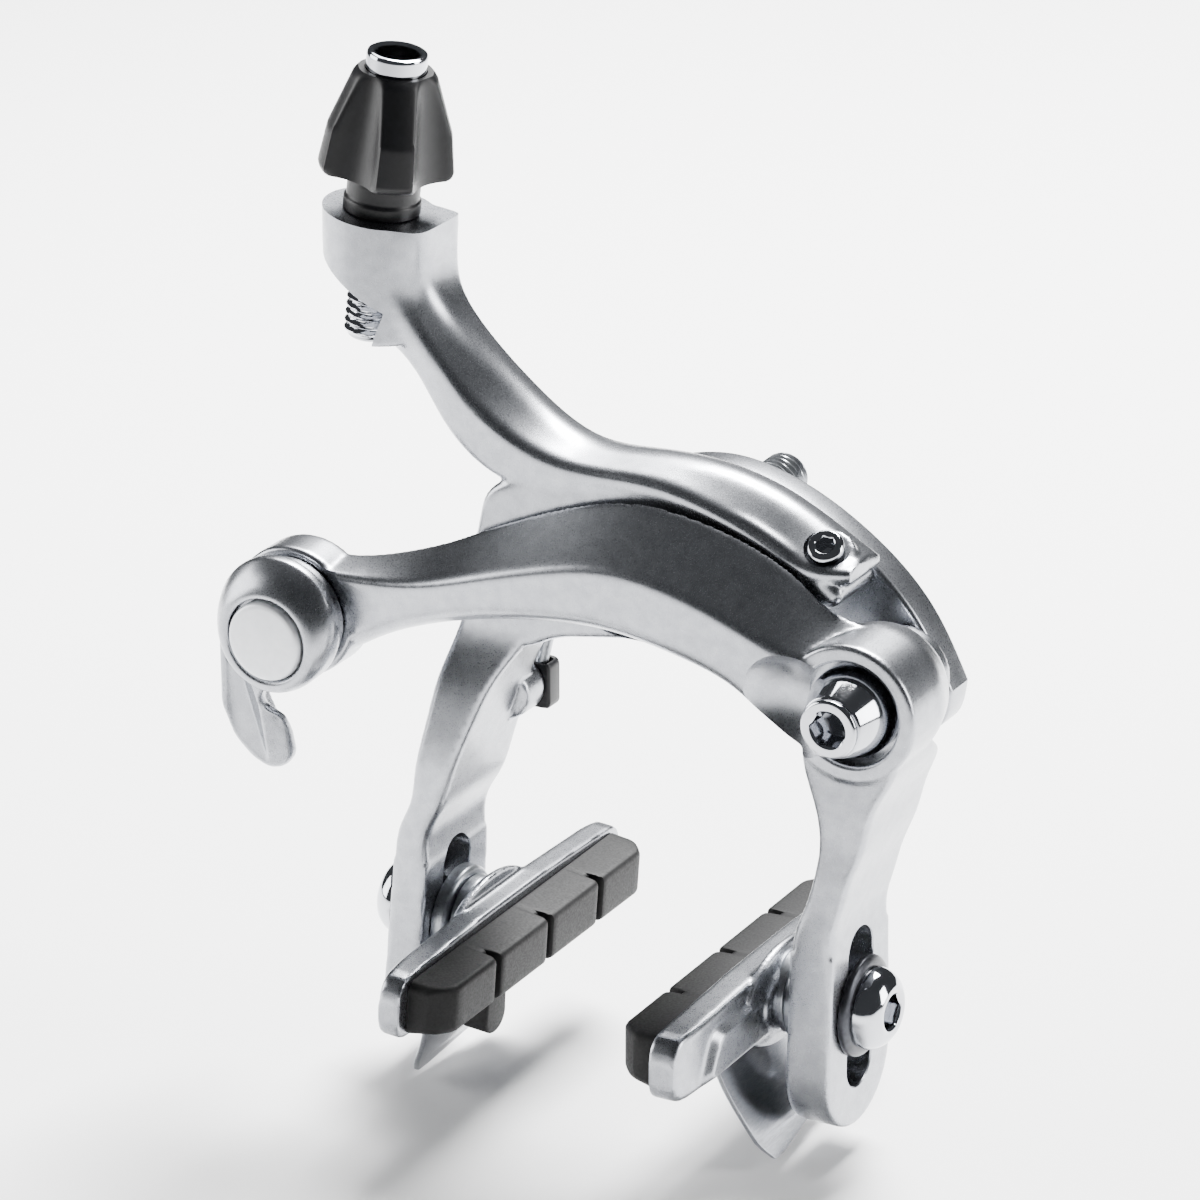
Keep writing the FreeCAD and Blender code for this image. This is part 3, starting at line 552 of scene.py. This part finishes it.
frontArm = {
    # each station: x, top z, ridge z, bottom z, ridge y, back y
    "bridge": [(-42.0, -3.2, -3.4, -18.0, -25.8, -19.6), (-36.5, -3.0, -3.6, -15.0, -25.8, -19.6),
               (-31.0, -1.7, -3.5, -11.7, -25.8, -19.4), (-24.5, 0.7, -2.7, -8.9, -25.8, -19.2),
               (-17.0, 4.4, -0.6, -6.8, -25.8, -19.3), (-9.0, 7.9, 1.8, -5.4, -25.8, -19.3),
               (0.0, 10.5, 3.6, -4.9, -25.8, -19.3), (9.0, 10.2, 2.7, -6.3, -25.8, -19.3),
               (17.0, 8.1, 0.2, -9.0, -25.8, -19.3), (23.0, 5.0, -1.9, -13.0, -25.6, -19.3),
               (26.5, 2.4, -2.6, -14.5, -25.3, -19.0), (30.5, 0.7, -3.2, -15.5, -25.0, -18.0),
               (34.0, -0.4, -4.2, -15.2, -25.0, -17.5), (37.0, -3.4, -6.0, -13.5, -25.0, -17.5)],
    "limb": [(-8.0, 26.0, 38.5, 26.0, 38.5, -25.0, -16.2), (-12.5, 25.8, 38.2, 25.8, 38.2, -25.0, -15.5),
             (-16.5, 26.0, 36.8, 26.0, 36.8, -24.6, -10.5), (-21.0, 27.0, 34.4, 26.6, 34.6, -23.9, -8.6),
             (-26.0, 27.4, 33.0, 27.2, 32.8, -23.4, -7.4), (-30.5, 26.5, 31.2, 26.3, 31.0, -22.9, -7.2),
             (-34.6, 25.3, 30.0, 25.2, 29.9, -22.7, -7.3), (-37.7, 24.1, 29.15, 24.1, 29.15, -22.6, -7.4),
             (-41.3, 23.7, 29.2, 23.7, 29.2, -22.6, -7.4)],
    "plate": (23.5, 29.2), "scoop": {"centre": (24.6, -30.0, -8.6), "radius": 8.0},
    "voxel": 0.32, "passes": 4,
}


def makeFrontArm():
    releaseStart = (release["x"], release["front"], release["z"])
    sideStart = (side["x"], side["front"], side["z"])
    sections = [[(x, back, top), (x, front, ridge), (x, max(front, -25.0), low + 1.6), (x, -23.0, low),
                 (x, back, low + 0.4)] for x, top, ridge, low, front, back in frontArm["bridge"]]
    shapes = [swept(sections, (0.9, 1.0, 1.2, 1.4, 0.9), 130),
              softTurned([(0, 0), (8.2, 0), (8.2, 5.4), (0, 5.4)], 0.5, releaseStart, alongY),
              softTurned([(0, 0), (8.4, 0), (8.4, 8.0), (7.3, 11.8), (5.6, 12.4), (5.6, 15.7), (0, 15.7)],
                         (0, 0.5, 1.0, 0.8, 0.5, 0.3, 0), sideStart, alongY),
              limb(frontArm["limb"], 1.0), tongue(*frontArm["plate"])]
    arm = makeMesh("front_arm_forging", shapes)
    forge(arm, frontArm["voxel"], frontArm["passes"])
    scoop = frontArm["scoop"]
    bend = np.linspace(0, np.pi, 40)
    halfCircle = scoop["radius"] * np.stack([np.sin(bend), -np.cos(bend)], -1)
    ball = turned(halfCircle, scoop["centre"], alongY)
    cut(arm, [ball, countersunk(4.05, sideStart, alongY, 20, 0.01),
              countersunk(side["recessRadius"], sideStart, alongY, 3.0, 0.5),
              countersunk(5.05, releaseStart, alongY, 8, 0.01),
              rod(8.8, (release["x"], -31, release["z"]), releaseStart),
              slotTool(*frontArm["plate"])])
    return finish(arm, "front_arm", ["front_arm"], silver)


makeFrontArm()
print("front arm made")

# pivot bracket behind the arms, with its bolts and washers

bracket = {"edge": 0.6,
           "top": [(-6.0, 9.0), (0.0, 11.3), (6.0, 12.4), (12.6, 11.5), (23.4, 6.5), (32.6, -1.8),
                   (37.2, -10.0)],
           "corner": [(37.2, -10.0), (35.8, -14.6), (31.3, -16.4)],
           "arch": [(31.3, -16.4), (24.0, -13.3), (15.0, -11.5), (7.0, -9.9), (0.0, -8.0)],
           "left": [(0.0, -8.0), (-8.2, -5.6), (-10.2, 0.0), (-6.0, 9.0)]}


def makeBracket():
    outline = np.concatenate([splineThrough(bracket[part], count)[:-1]
                              for part, count in (("top", 60), ("corner", 16), ("arch", 30), ("left", 24))])
    front, back = centre["bracketFront"], centre["bracketBack"]
    piece = makeMesh("pivot_bracket_plate", [plate(outline, front, back, bracket["edge"], "y")])
    cut(piece, [countersunk(5.6, (0, back, 0), -alongY, 2.0, 0.3), rod(3.05, (0, -10, 0), (0, -3, 0)),
                countersunk(3.05, (side["x"], back, side["z"]), -alongY, 8, 0.3)])
    finish(piece, "bracket", ["pivot_bracket"], silver)


def makeCentreBolt():
    rows = denser([(0, -18.2, 0, 0), (2.5, -18.2, 0, 0), (3.0, -17.7, 0, 1), (3.0, -14.0, 0, 1),
                   (3.0, -13.0, 0, 0), (3.0, -6.0, 0, 0), (5.2, -6.0, 0, 0), (5.5, -5.7, 0, 0),
                   (5.5, -4.2, 0, 0), (5.3, -4.0, 0, 0), (2.6, -4.0, 0, 0), (2.6, 0.0, 0, 0),
                   (3.0, 0.0, 0, 0), (3.0, 3.0, 0, 0), (3.0, 4.0, 0, 1), (3.0, 21.2, 0, 1),
                   (2.2, 22.0, 0, 0.2), (0, 22.0, 0, 0)], 0.16)
    bolt = turned(rows, (0, 0, 0), alongY, 48, pitch=1.0, depth=0.42)
    piece = makeMesh("centre_bolt_threaded", [bolt])
    finish(piece, "bracket", ["centre_bolt"], zinc)
    washer = makeMesh("dished_mounting_washer", [softTurned(
        [(3.05, -4.0), (6.2, -4.0), (7.6, -1.2), (7.6, 0), (5.4, 0), (4.6, -0.8), (3.05, -0.8)],
        (0.2, 0.8, 0.8, 0.25, 0.3, 0.5, 0.1), (0, 0, 0), alongY, ring=True)])
    finish(washer, "bracket", ["mounting_washer"], zinc)
    nut = makeMesh("centre_nut_flanged", [softTurned(
        [(3.05, -14.5), (6.8, -14.5), (6.8, -15.5), (5.1, -15.6, 1), (5.0, -17.9, 1), (4.6, -18.2, 0.6),
         (3.05, -18.2)],
        (0.1, 0.3, 0.3, 0.2, 0.2, 0.2, 0.1), (0, 0, 0), alongY, ring=True)])
    finish(nut, "bracket", ["centre_nut"], zinc)


def makeSidePivot():
    start = (side["x"], 0, side["z"])
    bolt = makeMesh("side_pivot_bolt", [softTurned(
        [(0, -26.5), (1.2, -26.5), (2.0, -26.6, 1), (2.0, -29.75, 1), (2.35, -30.0), (3.3, -30.0),
         (3.55, -29.75), (3.55, -29.2), (3.0, -29.2), (3.0, -4.6), (2.6, -4.4), (0, -4.4)],
        (0, 0.1, 0.05, 0.08, 0.1, 0.15, 0.15, 0.1, 0.1, 0.3, 0.2, 0), start, alongY)])
    finish(bolt, "bracket", ["side_bolt"], chrome)
    collar = makeMesh("side_pivot_collar", [softTurned(
        [(3.05, -22.2), (5.5, -22.2), (5.5, -24.1), (3.7, -29.2), (3.05, -29.2)], (0.1, 0.2, 0.9, 0.3, 0.1),
        start, alongY, ring=True)])
    finish(collar, "bracket", ["side_collar"], chrome)


makeBracket()
makeCentreBolt()
makeSidePivot()
print("bracket and pivots made")

# cable adjuster

knob = {"foot": 4.8, "top": 17.6, "wingTurn": math.radians(38),
        "profile": [(4.8, 7.75), (5.6, 8.0), (10.2, 7.35), (17.0, 4.95), (17.6, 4.4)],
        "fluteDistance": (12.3, 7.6), "fluteRadius": (6.4, 3.4), "soft": 0.22}


def knobShape():
    # radius by height and turn: the smooth minimum of the outer profile and four round flutes
    heights = np.concatenate([[4.8, 4.8, 4.95, 5.2], np.linspace(5.6, 16.8, 46), [17.2, 17.45, 17.6]])
    turn = np.linspace(0, 2 * np.pi, 160, endpoint=False)
    outer = np.interp(heights, *np.array(knob["profile"]).T)[:, None]
    outer[:3, 0] = (7.3, 7.45, 7.7)
    share = ((heights - knob["foot"] + 1) / (knob["top"] - knob["foot"] + 2))[:, None]
    distance = knob["fluteDistance"][0] + share * (knob["fluteDistance"][1] - knob["fluteDistance"][0])
    radius = knob["fluteRadius"][0] + share * (knob["fluteRadius"][1] - knob["fluteRadius"][0])
    off = ((turn - knob["wingTurn"]) % (np.pi / 2)) - np.pi / 4
    inside = radius ** 2 - (distance * np.sin(off)) ** 2
    flute = np.where(inside > 0, distance * np.cos(off) - np.sqrt(np.maximum(inside, 0)), outer + 5)
    soft = knob["soft"]
    reach = -soft * np.log(np.exp(-outer / soft) + np.exp(-flute / soft))
    inner = np.full((2, len(turn)), 3.7)
    reach = np.concatenate([inner[:1], reach, inner[1:]])
    heights = np.concatenate([[4.8], heights, [knob["top"]]])
    across, up, along = basis(adjusterAxis)
    around = np.cos(turn)[:, None] * across + np.sin(turn)[:, None] * up
    points = adjuster["seat"] + reach[..., None] * around + heights[:, None, None] * along
    return skin(points, ring=True)


def makeAdjuster():
    winged = makeMesh("adjuster_knob_winged", [knobShape()])
    finish(winged, "adjuster_knob", ["adjuster_knob"], made["moulded_black_nylon"], 40)
    seat = makeMesh("adjuster_seat_collar", [softTurned(
        [(3.15, 0.05), (4.6, 0.05), (4.6, 1.6), (4.35, 1.9), (4.35, 3.9), (4.1, 4.6), (3.15, 4.6)],
        (0.1, 0.25, 0.2, 0.2, 0.3, 0.3, 0.1), adjuster["seat"], adjusterAxis, ring=True)])
    finish(seat, "rear_arm", ["adjuster_seat"], made["moulded_black_nylon"])
    rows = denser([(1.0, -16.0, 0, 0), (2.4, -16.0, 0, 0), (3.0, -15.5, 0, 0.8), (3.0, 9.0, 0, 1),
                   (3.0, 10.0, 0, 0), (3.6, 10.0, 0, 0), (3.6, 19.4, 0, 0), (3.5, 19.65, 0, 0),
                   (3.25, 19.8, 0, 0), (2.85, 19.8, 0, 0), (2.6, 19.5, 0, 0), (2.6, 11.0, 0, 0),
                   (1.0, 11.0, 0, 0)], 0.15)
    tube = turned(rows, adjuster["seat"], adjusterAxis, 60, ring=True, pitch=1.0, depth=0.5)
    barrel = makeMesh("adjuster_barrel", [tube])
    finish(barrel, "adjuster_bolt", ["adjuster_bolt"], chrome)


def makeCentringScrew():
    rows = [(0, -1.4), (0.7, -1.4), (1.0, -1.4, 1), (1.0, -0.2, 1), (1.25, 0), (1.9, 0), (2.2, -0.35),
            (2.2, -1.8), (1.5, -1.8), (1.5, -9.3), (1.2, -9.5), (0, -9.5)]
    soft = (0, 0.05, 0.05, 0.1, 0.1, 0.2, 0.2, 0.1, 0.05, 0.1, 0.1, 0)
    piece = makeMesh("centring_screw_socket", [softTurned(rows, soft, screw["head"], screw["axis"], 60)])
    finish(piece, "centring_screw", ["centring_screw"], chrome)


makeAdjuster()
makeCentringScrew()
print("adjuster and screw made")

# quick release and cable anchor

lever = {
    "back": -25.2,
    "outline": [(-42.6, -17.0), (-44.4, -19.6), (-44.4, -21.2), (-42.9, -22.6), (-42.3, -25.0),
                (-42.3, -28.4), (-43.6, -30.2), (-45.4, -30.5), (-47.2, -29.0), (-48.8, -26.0),
                (-49.7, -21.0), (-50.0, -12.3), (-49.4, -8.5), (-45.0, -12.0)],
    "disc": [(0, 0), (7.3, 0), (7.3, 1.8), (8.1, 2.1), (8.1, 3.4), (7.6, 4.9), (6.5, 6.1), (5.55, 6.35),
             (5.2, 6.1), (5.2, 4.6), (0, 4.6)],
    "discSoft": (0, 0.3, 0.2, 0.3, 0.6, 0.8, 0.5, 0.25, 0.15, 0.1, 0),
    "rimHeight": 3.4, "leanHeight": 2.7, "drop": 1.5,
    "bendZ": -19.0, "bendReach": 4.0, "bend": 0.28, "twistX": -46.0, "twist": 0.33,
}


def makeRelease():
    # the dome leans down as it rises: everything beyond the rim shifts by up to the drop.
    # the paddle bends backwards below the disc and twists about its long axis
    start = (release["x"], lever["back"], release["z"])
    disc = softTurned(lever["disc"], lever["discSoft"], start, -alongY, 96)
    height = lever["back"] - disc[0][:, 1]
    disc[0][:, 2] -= lever["drop"] * np.clip((height - lever["rimHeight"]) / lever["leanHeight"], 0, 1)
    outline = rounded(lever["outline"], 0.9, 5)
    points, faces = plate(outline, lever["back"] - 4.4, lever["back"] - 2.7, 0.5, "y")
    away = np.maximum(lever["bendZ"] - points[:, 2], 0)
    below = np.clip(away / lever["bendReach"], 0, 1)
    points[:, 1] += lever["bend"] * away * below
    points[:, 1] += lever["twist"] * (points[:, 0] - lever["twistX"]) * below
    piece = makeMesh("release_lever_paddle", [disc, (points, faces)])
    forge(piece, 0.2, 3)
    finish(piece, "quick_release", ["release_lever"], silver)
    start = (release["x"], lever["back"], release["z"] - lever["drop"])
    cap = makeMesh("release_cap_disc", [softTurned(
        [(0, 4.7), (4.95, 4.7), (4.95, 6.2), (4.75, 6.6), (4.3, 6.72), (0, 6.9)],
        (0, 0.1, 0.3, 0.2, 0.3, 0), start, -alongY, 96)])
    finish(cap, "quick_release", ["release_cap"], made["pale_silver_paint"])


def makeAnchor():
    at = (release["x"], 0, release["z"] - 2.0)
    nut = makeMesh("anchor_nut_hex", [softTurned(
        [(2.55, -13.9), (3.7, -13.9), (4.0, -13.6, 1), (4.0, -10.9, 1), (3.7, -10.6), (2.9, -10.6),
         (2.55, -10.9)],
        (0.1, 0.1, 0.2, 0.2, 0.1, 0.1, 0.1), at, alongY, ring=True)])
    finish(nut, "cable_anchor", ["anchor_nut"], zinc)


makeRelease()
makeAnchor()
print("quick release made")

# brake shoes: side is -1 on the left and 1 on the right, and depths grow away from the wheel

shoes = {"z": -49.3, "padLength": 50.0, "padMiddle": -14.65, "padTop": -46.4, "padBottom": -53.5,
         "holderLength": 54.0, "holderTop": -45.1, "holderBottom": -53.9,
         "left": {"side": -1, "face": -11.9, "rubberBack": -17.3, "holderBack": -21.1,
                  "inner": -25.2, "outer": -30.0},
         "right": {"side": 1, "face": 9.7, "rubberBack": 15.2, "holderBack": 19.6,
                   "inner": 23.6, "outer": 29.2}}


def padShape(shoe):
    # a bar along Y. Each row is a section with rounded face corners; at the three grooves the face
    # steps back
    sideways = shoe["side"]
    depth = abs(shoe["rubberBack"] - shoe["face"])
    half = shoes["padLength"] / 2
    height = (shoes["padTop"] - shoes["padBottom"]) / 2
    middle = (shoes["padTop"] + shoes["padBottom"]) / 2
    grooves = (-half / 2, 0, half / 2)
    places = [np.array([-half, -half + 0.15, -half + 0.5, -half + 1.0, -half + 1.6, -half + 2.4])]
    for groove in grooves:
        places.append(groove + np.array([-1.0, -0.75, -0.6, -0.52, -0.4, 0, 0.4, 0.52, 0.6, 0.75, 1.0]))
    places = np.sort(np.concatenate(places + [np.linspace(-half + 3, half - 3, 40), -places[0]]))
    distance = np.min(np.abs(places[:, None] - np.array(grooves)), axis=1)
    step = np.interp(distance, [0.4, 0.48, 0.56, 0.66, 0.95], [2.0, 1.7, 0.5, 0.12, 0.0])
    fromEnd = half - np.abs(places)
    slope = np.interp(fromEnd, [0, 0.8, 2.2, 3.0], [2.6, 1.5, 0.2, 0.0])
    shrink = np.interp(fromEnd, [0, 0.15, 0.5, 1.0], [0.8, 0.45, 0.12, 0.0])
    back = depth
    front = (step + slope)
    corners = np.zeros((len(places), 4, 3))
    for i, (near, sign) in enumerate(((True, -1), (True, 1), (False, 1), (False, -1))):
        corners[:, i, 0] = shoe["face"] + sideways * (front if near else back)
        corners[:, i, 1] = shoes["padMiddle"] + places
        taper = 0.9 if near and sign < 0 else 0.2 if near else 0.0
        corners[:, i, 2] = middle + sign * (height - shrink - taper)
    return skin(rounded(corners, (0.8, 0.8, 0.25, 0.25), 5))


def holderShapes(shoe):
    # the tray, and the raised block that the bolt pulls against the washers
    sideways = shoe["side"]
    half = shoes["holderLength"] / 2
    places = np.concatenate([[-half, -half + 0.1, -half + 0.4, -half + 0.9, -half + 1.7, -half + 3.0],
                             np.linspace(-half + 4, half - 4, 30),
                             [half - 3.0, half - 1.7, half - 0.9, half - 0.4, half - 0.1, half]])
    fromEnd = half - np.abs(places)
    pinch = np.interp(fromEnd, [0, 0.1, 0.4, 0.9, 1.7, 3.0], [2.2, 1.7, 1.0, 0.5, 0.15, 0.0])
    drop = np.interp(fromEnd, [0, 0.4, 1.7, 12, 20], [1.5, 1.0, 0.7, 0.3, 0.0])
    back = shoe["holderBack"] - sideways * (0.5 + 0.5 * np.interp(fromEnd, [0, 5], [1, 0]))
    corners = np.zeros((len(places), 4, 3))
    corners[:, :, 1] = (shoes["padMiddle"] + places)[:, None]
    corners[:, :2, 0] = shoe["rubberBack"]
    corners[:, 2:, 0] = back[:, None]
    corners[:, (0, 3), 2] = (shoes["holderBottom"] + pinch)[:, None]
    corners[:, (1, 2), 2] = (shoes["holderTop"] - pinch - drop)[:, None]
    tray = skin(rounded(corners, (0.4, 0.4, 0.8, 0.8), 6))
    blockOuter = [(-36.5, -53.6), (2.5, -53.6), (0.5, -46.9), (-33.5, -47.4)]
    blockInner = [(-35.2, -52.8), (1.2, -52.8), (-0.6, -47.8), (-32.4, -48.3)]
    levels = [(blockOuter, -2.2), (blockOuter, -0.5), (blockInner, 0.5), (blockInner, 0.5)]
    rows = [[(shoe["holderBack"] + sideways * out, y, z) for y, z in outline] for outline, out in levels]
    block = skin(rounded(np.array(rows), 1.6, 6))
    # a waisted boss runs from the block towards the plate and hides the joint of the washers
    middleZ = (shoes["holderTop"] + shoes["holderBottom"]) / 2
    base = np.array([shoe["holderBack"] - sideways * 1.0, plateSet["middleY"], middleZ])
    points, faces = softTurned([(0, 0), (10.5, 0), (10.5, 0.9), (7.6, 1.5), (6.9, 2.2), (0, 2.2)],
                               (0, 0.2, 0.6, 1.6, 0.4, 0), base, alongX * sideways)
    points[:, 2] = middleZ + (points[:, 2] - middleZ) * 0.60
    return [tray, block, (points, faces)]


def finShape(shoe):
    # a thin leaf that hangs from the holder: its section narrows and swings outwards as it drops
    sideways = shoe["side"]
    root = shoe["holderBack"] - sideways * 0.9
    tip = shoe["inner"] - sideways * 0.6
    share = np.linspace(0, 1, 30)
    shares = [0.0, 0.25, 0.55, 0.82, 0.9, 1.0]
    front = np.interp(share, shares, [-31.0, -29.6, -27.8, -26.3, -25.5, -24.2])
    rear = np.interp(share, shares, [-3.5, -4.0, -4.5, -6.8, -13.0, -21.6])
    x = root + (tip - root) * share ** 1.6
    z = shoes["holderBottom"] + 0.8 - (13.2 + 0.8) * share
    corners = np.zeros((len(share), 4, 3))
    corners[:, :, 2] = z[:, None]
    corners[:, :2, 0] = x[:, None]
    corners[:, 2:, 0] = (x - sideways * 0.75)[:, None]
    corners[:, (0, 3), 1] = front[:, None]
    corners[:, (1, 2), 1] = rear[:, None]
    return skin(rounded(corners, 0.3, 4))


def makeShoe(name):
    shoe = shoes[name]
    sideways = shoe["side"]
    place = leanOut if name == "left" else (lambda points: points)
    outward = alongX * sideways
    turn = np.linspace(0, np.pi, 20)
    middleY, lowZ = shoes["padMiddle"] - 10.0, shoes["padBottom"] - 2.5
    inside = shoes["padBottom"] + 0.6
    outline = np.concatenate([np.stack([middleY - 2.4 * np.cos(turn), lowZ - 2.4 * np.sin(turn)], -1),
                              [(middleY + 2.2, inside), (middleY - 2.2, inside)]])
    lugEnds = sorted((shoe["face"] + sideways * 1.4, shoe["rubberBack"] - sideways * 0.2))
    lug = plate(outline, *lugEnds, 0.4, "x")
    pad = makeMesh(name + "_pad_rubber", [moved(padShape(shoe), place), moved(lug, place)])
    finish(pad, name + "_shoe", [name + "_pad"], made["brake_rubber"])
    holder = makeMesh(name + "_holder_cast", [moved(shape, place) for shape in holderShapes(shoe)])
    forge(holder, 0.26, 4)
    hole = rod(2.55, (shoe["rubberBack"] + sideways * 0.6, plateSet["middleY"], shoes["z"]),
               (shoe["holderBack"] + sideways * 2, plateSet["middleY"], shoes["z"]))
    cut(holder, [moved(hole, place)])
    finish(holder, name + "_shoe", [name + "_holder"], silver)
    fin = makeMesh(name + "_wheel_guide_leaf", [moved(finShape(shoe), place)])
    finish(fin, name + "_shoe", [name + "_wheel_guide"], made["bright_sheet_steel"])
    base = np.array([0, plateSet["middleY"], shoes["z"]])
    seat = base + outward * (abs(shoe["outer"]) + 0.05)
    disc = softTurned([(2.55, 0), (6.2, 0), (6.2, 0.75), (5.4, 1.2), (2.55, 1.2)],
                      (0.1, 0.2, 0.4, 0.4, 0.1), seat, outward, ring=True)
    washer = makeMesh(name + "_shoe_washer", [moved(disc, place)])
    # the outer washer's darkness is a painted dark reflection, not the steel's own colour
    finish(washer, name + "_fixings", [name + "_outer_washer"], made["steel_with_painted_dark_reflection"])
    start = base + outward * (abs(shoe["outer"]) + 1.25)
    length = abs(shoe["outer"] + 1.25 * sideways - shoe["rubberBack"] - sideways * 0.8)
    head = [(0, 0.8), (1.3, 0.8), (2.0, 0.8, 1), (2.0, 2.75, 1), (2.35, 3.05), (3.0, 3.2), (4.1, 2.55),
            (4.75, 1.6), (5.0, 0.8), (5.0, 0), (2.5, 0), (2.5, -length + 0.4), (2.1, -length), (0, -length)]
    soft = (0, 0.1, 0.05, 0.15, 0.15, 0.3, 0.6, 0.5, 0.3, 0.15, 0.1, 0.2, 0.2, 0)
    bolt = makeMesh(name + "_shoe_bolt_domed", [moved(softTurned(head, soft, start, outward), place)])
    finish(bolt, name + "_fixings", [name + "_shoe_bolt"], chrome)
    near = base + outward * abs(shoe["holderBack"] + sideways * 0.1)
    gap = abs(shoe["inner"] - sideways * 0.05) - abs(shoe["holderBack"] + sideways * 0.1)
    half = gap * 0.5
    stack = [(2.55, 0), (4.7, 0), (5.2, 0.5), (5.2, half - 0.12), (4.6, half), (5.6, half + 0.1),
             (6.0, half + 0.5), (6.0, gap), (2.55, gap)]
    dished = makeMesh(name + "_dished_washer_pair", [moved(softTurned(
        stack, (0.1, 0.3, 0.3, 0.2, 0.15, 0.3, 0.3, 0.2, 0.1), near, outward, ring=True), place)])
    finish(dished, name + "_fixings", [name + "_dished_washers"], zinc)


for name in ("left", "right"):
    makeShoe(name)
    print(name, "shoe made")

# return spring and its slider

spring = {"wire": 0.9, "sweep": 14.5, "y": -5.4, "slider": (-19.9, -21.4), "start": 140.0}


def makeSpring():
    # a round wire along an arc about the centre bolt and then straight to the slider
    sliderX, sliderZ = spring["slider"]
    reach = math.hypot(sliderX, sliderZ)
    end = 2 * np.pi + math.atan2(sliderZ, sliderX) - math.acos(spring["sweep"] / reach)
    turn = np.linspace(math.radians(spring["start"]), end, 40)
    arc = np.stack([spring["sweep"] * np.cos(turn), spring["sweep"] * np.sin(turn)], -1)
    line = arc[-1] + (np.array(spring["slider"]) - arc[-1]) * np.linspace(0, 1, 12)[1:, None]
    path = np.concatenate([arc, line])
    along = np.gradient(path, axis=0)
    along /= np.linalg.norm(along, axis=1, keepdims=True)
    normal = np.stack([-along[:, 1], along[:, 0]], -1)
    angle = np.linspace(0, 2 * np.pi, 20, endpoint=False)
    ends = np.ones(len(path))
    ends[[0, -1]] = 0.55
    away = (spring["wire"] * np.cos(angle))[None, :, None] * ends[:, None, None]
    out = normal[:, None, :] * away + path[:, None, :]
    y = spring["y"] + spring["wire"] * np.sin(angle)[None, :] * ends[:, None]
    piece = makeMesh("return_spring_wire", [skin(np.stack([out[..., 0], y, out[..., 1]], -1))])
    finish(piece, "rear_arm", ["return_spring"], zinc)
    block = makeMesh("spring_slider_block", [plate(rounded(
        [(-22.9, -24.6), (-21.0, -24.6), (-21.0, -24.59), (-17.6, -24.6), (-17.6, -18.4),
         (-22.9, -18.4)], 1.0),
        -6.4, -3.6, 0.35, "y")])
    groove = plate(np.array([(-21.0, -26), (-18.0, -26), (-18.0, -17), (-21.0, -17)]), -6.35, -4.4, 0.3, "y")
    cut(block, [groove])
    finish(block, "rear_arm", ["spring_slider"], made["moulded_black_nylon"])


makeSpring()
print("spring made")

# CAD nodes that stay: their shapes are plain turned parts, mostly hidden
kept = {"release_cam": zinc, "anchor_bolt": zinc, "anchor_plate": zinc, "anchor_washer": zinc,
        "side_bush": made["bearing_acetal"], "centre_bush": made["bearing_acetal"],
        "left_pad_screw": zinc, "right_pad_screw": zinc}
for node, material in kept.items():
    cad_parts[node].data.materials.clear()
    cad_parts[node].data.materials.append(material)

# floor, light and camera

stageSet = {"floorDrop": 0.0015, "floorSize": 6.0, "floorColour": "#fafafa",
            "worldColour": "#dfe3ea", "worldPower": 0.10,
            "camera": {"azimuth": 29.0, "elevation": 22.0, "distance": 0.700, "lens": 178.5,
                       "target": (-0.00584, -0.015, -0.00476)}}
lights = {
    # name: (azimuth, elevation, distance, width, height, power, spread, spot it is aimed at)
    "backdropLamp": (172, 68, 0.95, 0.45, 0.45, 17.0, 95, (-0.10, 0.17, -0.07)),
    "leftBox": (-68, 14, 0.62, 0.40, 0.36, 2.6, 150, (0.0, 0.0, -0.01)),
    "rightBox": (108, 16, 0.60, 0.22, 0.36, 2.6, 150, (0.0, 0.0, -0.01)),
    "topBox": (-150, 52, 0.80, 0.40, 0.30, 2.4, 120, (0.0, 0.0, -0.01)),
}


def direction(azimuth, elevation):
    a, e = math.radians(azimuth), math.radians(elevation)
    return Vector((math.sin(a) * math.cos(e), -math.cos(a) * math.cos(e), math.sin(e)))


def makeStage():
    half = stageSet["floorSize"] / 2
    level = cadLow.z - stageSet["floorDrop"]
    mesh = bpy.data.meshes.new("floor")
    corners = [(-half, -half, level), (half, -half, level), (half, half, level), (-half, half, level)]
    mesh.from_pydata(corners, [], [(0, 1, 2, 3)])
    floor = bpy.data.objects.new("floor", mesh)
    bpy.context.scene.collection.objects.link(floor)
    paper = bpy.data.materials.new("white_studio_paper")
    paper.use_nodes = True
    shader = paper.node_tree.nodes["Principled BSDF"]
    shader.inputs["Base Color"].default_value = linear(stageSet["floorColour"])
    shader.inputs["Roughness"].default_value = 0.9
    mesh.materials.append(paper)
    world = bpy.data.worlds.new("studio")
    world.use_nodes = True
    background = world.node_tree.nodes["Background"]
    background.inputs["Color"].default_value = linear(stageSet["worldColour"])
    background.inputs["Strength"].default_value = stageSet["worldPower"]
    bpy.context.scene.world = world
    target = Vector(stageSet["camera"]["target"])
    for name, (azimuth, elevation, distance, width, height, power, spread, spot) in lights.items():
        data = bpy.data.lights.new(name, "AREA")
        data.shape = "RECTANGLE"
        data.size, data.size_y = width, height
        data.energy = power
        data.spread = math.radians(spread)
        lamp = bpy.data.objects.new(name, data)
        back = direction(azimuth, elevation)
        lamp.location = Vector(spot) + back * distance
        lamp.rotation_euler = (-back).to_track_quat("-Z", "Y").to_euler()
        bpy.context.scene.collection.objects.link(lamp)
    view = stageSet["camera"]
    data = bpy.data.cameras.new("camera")
    data.sensor_width = 36.0
    data.lens = view["lens"]
    data.clip_start = 0.01
    camera = bpy.data.objects.new("camera", data)
    back = direction(view["azimuth"], view["elevation"])
    camera.location = target + back * view["distance"]
    camera.rotation_euler = (-back).to_track_quat("-Z", "Y").to_euler()
    bpy.context.scene.collection.objects.link(camera)
    bpy.context.scene.camera = camera


makeStage()
print("stage made")
